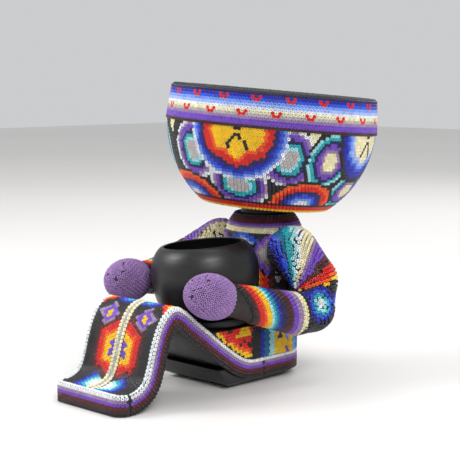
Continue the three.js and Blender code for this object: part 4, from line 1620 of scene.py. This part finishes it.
class FIGURE_OT_legs(bpy.types.Operator):
    """Lay the beads of the legs and the hips"""

    bl_idname = "figure.legs"
    bl_label = "Leg beads"

    def execute(self, context):
        rise = settings().pitch * settings().nesting
        low, high = STRIP_HALF + 0.3, LEG_HALF - CLAD - 0.3
        count = round((high - low) / rise)
        for side, name in ((1, "left"), (-1, "right")):
            seats = leg_top_rows(side * low, side * high, count, 0)
            lay_beads(f"{name}_leg_glass", seats, leg_tone(seats), "leg_beads")
            seats = leg_side_rows(side)
            tone = tones(*TRIM_ROWS)[np.rint(seats.where[:, 0]).astype(int)]
            lay_beads(f"{name}_edge_glass", seats, tone, "trim_beads")
        seats = leg_top_rows(-STRIP_HALF, STRIP_HALF, 3, 0.4)
        tone = np.where(np.abs(seats.where[:, 0]) < 0.5, TONE["grey"], TONE["cream"])
        lay_beads("centre_strip_glass", seats, tone, "strip_beads")
        seats = toe_rows()
        tone = tones(*TRIM_ROWS)[np.rint(seats.where[:, 0]).astype(int)]
        lay_beads("toe_edge_glass", seats, tone, "trim_beads")
        seats = top_edge_rows()
        lay_beads("top_edge_glass", seats, np.full(len(seats.at), TONE["white"]), "trim_beads")

        heights = [HIP_EDGE - below for below in trim_heights()]
        seats = hip_rows(heights, range(len(heights)))
        seats = seats.kept(seats.at[:, 1] > LEG_LINE[-1, 0] + 0.4)
        tone = tones(*TRIM_ROWS)[np.rint(seats.where[:, 0]).astype(int)]
        lay_beads("hip_edge_glass", seats, tone, "trim_beads")
        heights = np.arange(HIP_EDGE + 1.2, LAP_Z - 0.5, rise)
        seats = hip_rows(heights, range(len(heights)))
        seats = seats.kept(above_legs(seats))
        lay_beads("hip_glass", seats, hip_tone(seats), "hip_beads")
        return {"FINISHED"}


class FIGURE_OT_stage(bpy.types.Operator):
    """Set the figure on a pale floor under soft studio light, with a camera"""

    bl_idname = "figure.stage"
    bl_label = "Stage"

    def execute(self, context):
        scene = context.scene
        bpy.ops.mesh.primitive_plane_add(size=6, location=(0, 0, 0))
        floor = context.object
        floor.name = "floor"
        material, nodes, links = shader("pale_floor")
        body = nodes["Principled BSDF"]
        cloud = noise_node(nodes, links, 3, 3)
        ramp = nodes.new("ShaderNodeValToRGB")
        ramp.color_ramp.elements[0].color = (*linear((226, 224, 221)), 1)
        ramp.color_ramp.elements[1].color = (*linear((234, 232, 229)), 1)
        links.new(cloud.outputs["Fac"], ramp.inputs["Fac"])
        links.new(ramp.outputs["Color"], body.inputs["Base Color"])
        body.inputs["Roughness"].default_value = 0.6
        floor.data.materials.append(material)

        world = bpy.data.worlds.new("studio")
        world.use_nodes = True
        world.node_tree.nodes["Background"].inputs["Color"].default_value = (0.97, 0.98, 1.0, 1)
        world.node_tree.nodes["Background"].inputs["Strength"].default_value = 0.62
        scene.world = world
        scene.view_settings.view_transform = "Standard"
        middle = AXIS + np.array([0, -40, 80]) * MM
        soft_box("left_softbox", (-0.75, -0.75, 0.75), middle, 0.55, 9)
        soft_box("right_softbox", (0.95, -0.55, 0.8), middle, 0.5, 9)
        soft_box("top_softbox", (0.1, 0.3, 1.35), middle, 0.8, 6)
        soft_box("back_softbox", (-0.2, 1.1, 0.7), middle, 0.7, 3)
        stage_camera(scene)
        return {"FINISHED"}


def aimed(target, source):
    return (Vector(target) - Vector(source)).to_track_quat("-Z", "Y").to_euler()


def soft_box(name, offset, target, size, power):
    light = bpy.data.lights.new(name, "AREA")
    light.size = size
    light.energy = power
    lamp = bpy.data.objects.new(name, light)
    lamp.location = Vector(target) + Vector(offset)
    lamp.rotation_euler = aimed(target, lamp.location)
    bpy.context.scene.collection.objects.link(lamp)


def stage_camera(scene):
    """A long lens at table height, to the figure's left of its front."""
    azimuth, pitch = math.radians(44), math.radians(7)
    away, high, aside = 723.0, 170.2, -20.05
    to_camera = np.array([math.sin(azimuth), -math.cos(azimuth), 0])
    right = np.array([math.cos(azimuth), math.sin(azimuth), 0])
    place = to_row(to_camera * away + right * aside + [0, 0, high])
    camera = bpy.data.cameras.new("camera")
    camera.lens = settings().lens
    camera.sensor_width = 36
    camera.clip_start = 0.01
    holder = bpy.data.objects.new("camera", camera)
    ahead = -to_camera * math.cos(pitch) + np.array([0, 0, -math.sin(pitch)])
    holder.location = place
    holder.rotation_euler = aimed(place + ahead, place)
    scene.collection.objects.link(holder)
    scene.camera = holder


OPERATORS = (
    FIGURE_OT_clay, FIGURE_OT_wax, FIGURE_OT_head, FIGURE_OT_shirt, FIGURE_OT_arms,
    FIGURE_OT_legs, FIGURE_OT_stage,
)


class FIGURE_PT_panel(bpy.types.Panel):
    """Lists the figure's settings and the steps that build it"""

    bl_label = "Beaded figure"
    bl_idname = "FIGURE_PT_panel"
    bl_space_type = "VIEW_3D"
    bl_region_type = "UI"
    bl_category = "Beaded figure"

    def draw(self, context):
        for name in FigureSettings.__annotations__:
            self.layout.prop(context.scene.beaded_figure, name)
        for operator in OPERATORS:
            self.layout.operator(operator.bl_idname)


CLASSES = (FigureSettings, *OPERATORS, FIGURE_PT_panel)


def register():
    for cls in CLASSES:
        bpy.utils.register_class(cls)
    bpy.types.Scene.beaded_figure = PointerProperty(type=FigureSettings)


def unregister():
    del bpy.types.Scene.beaded_figure
    for cls in reversed(CLASSES):
        bpy.utils.unregister_class(cls)


def main():
    register()
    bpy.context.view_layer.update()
    bpy.ops.figure.clay()
    bpy.ops.figure.wax()
    bpy.ops.figure.head()
    bpy.ops.figure.shirt()
    bpy.ops.figure.arms()
    bpy.ops.figure.legs()
    bpy.ops.figure.stage()


if __name__ == "__main__":
    main()
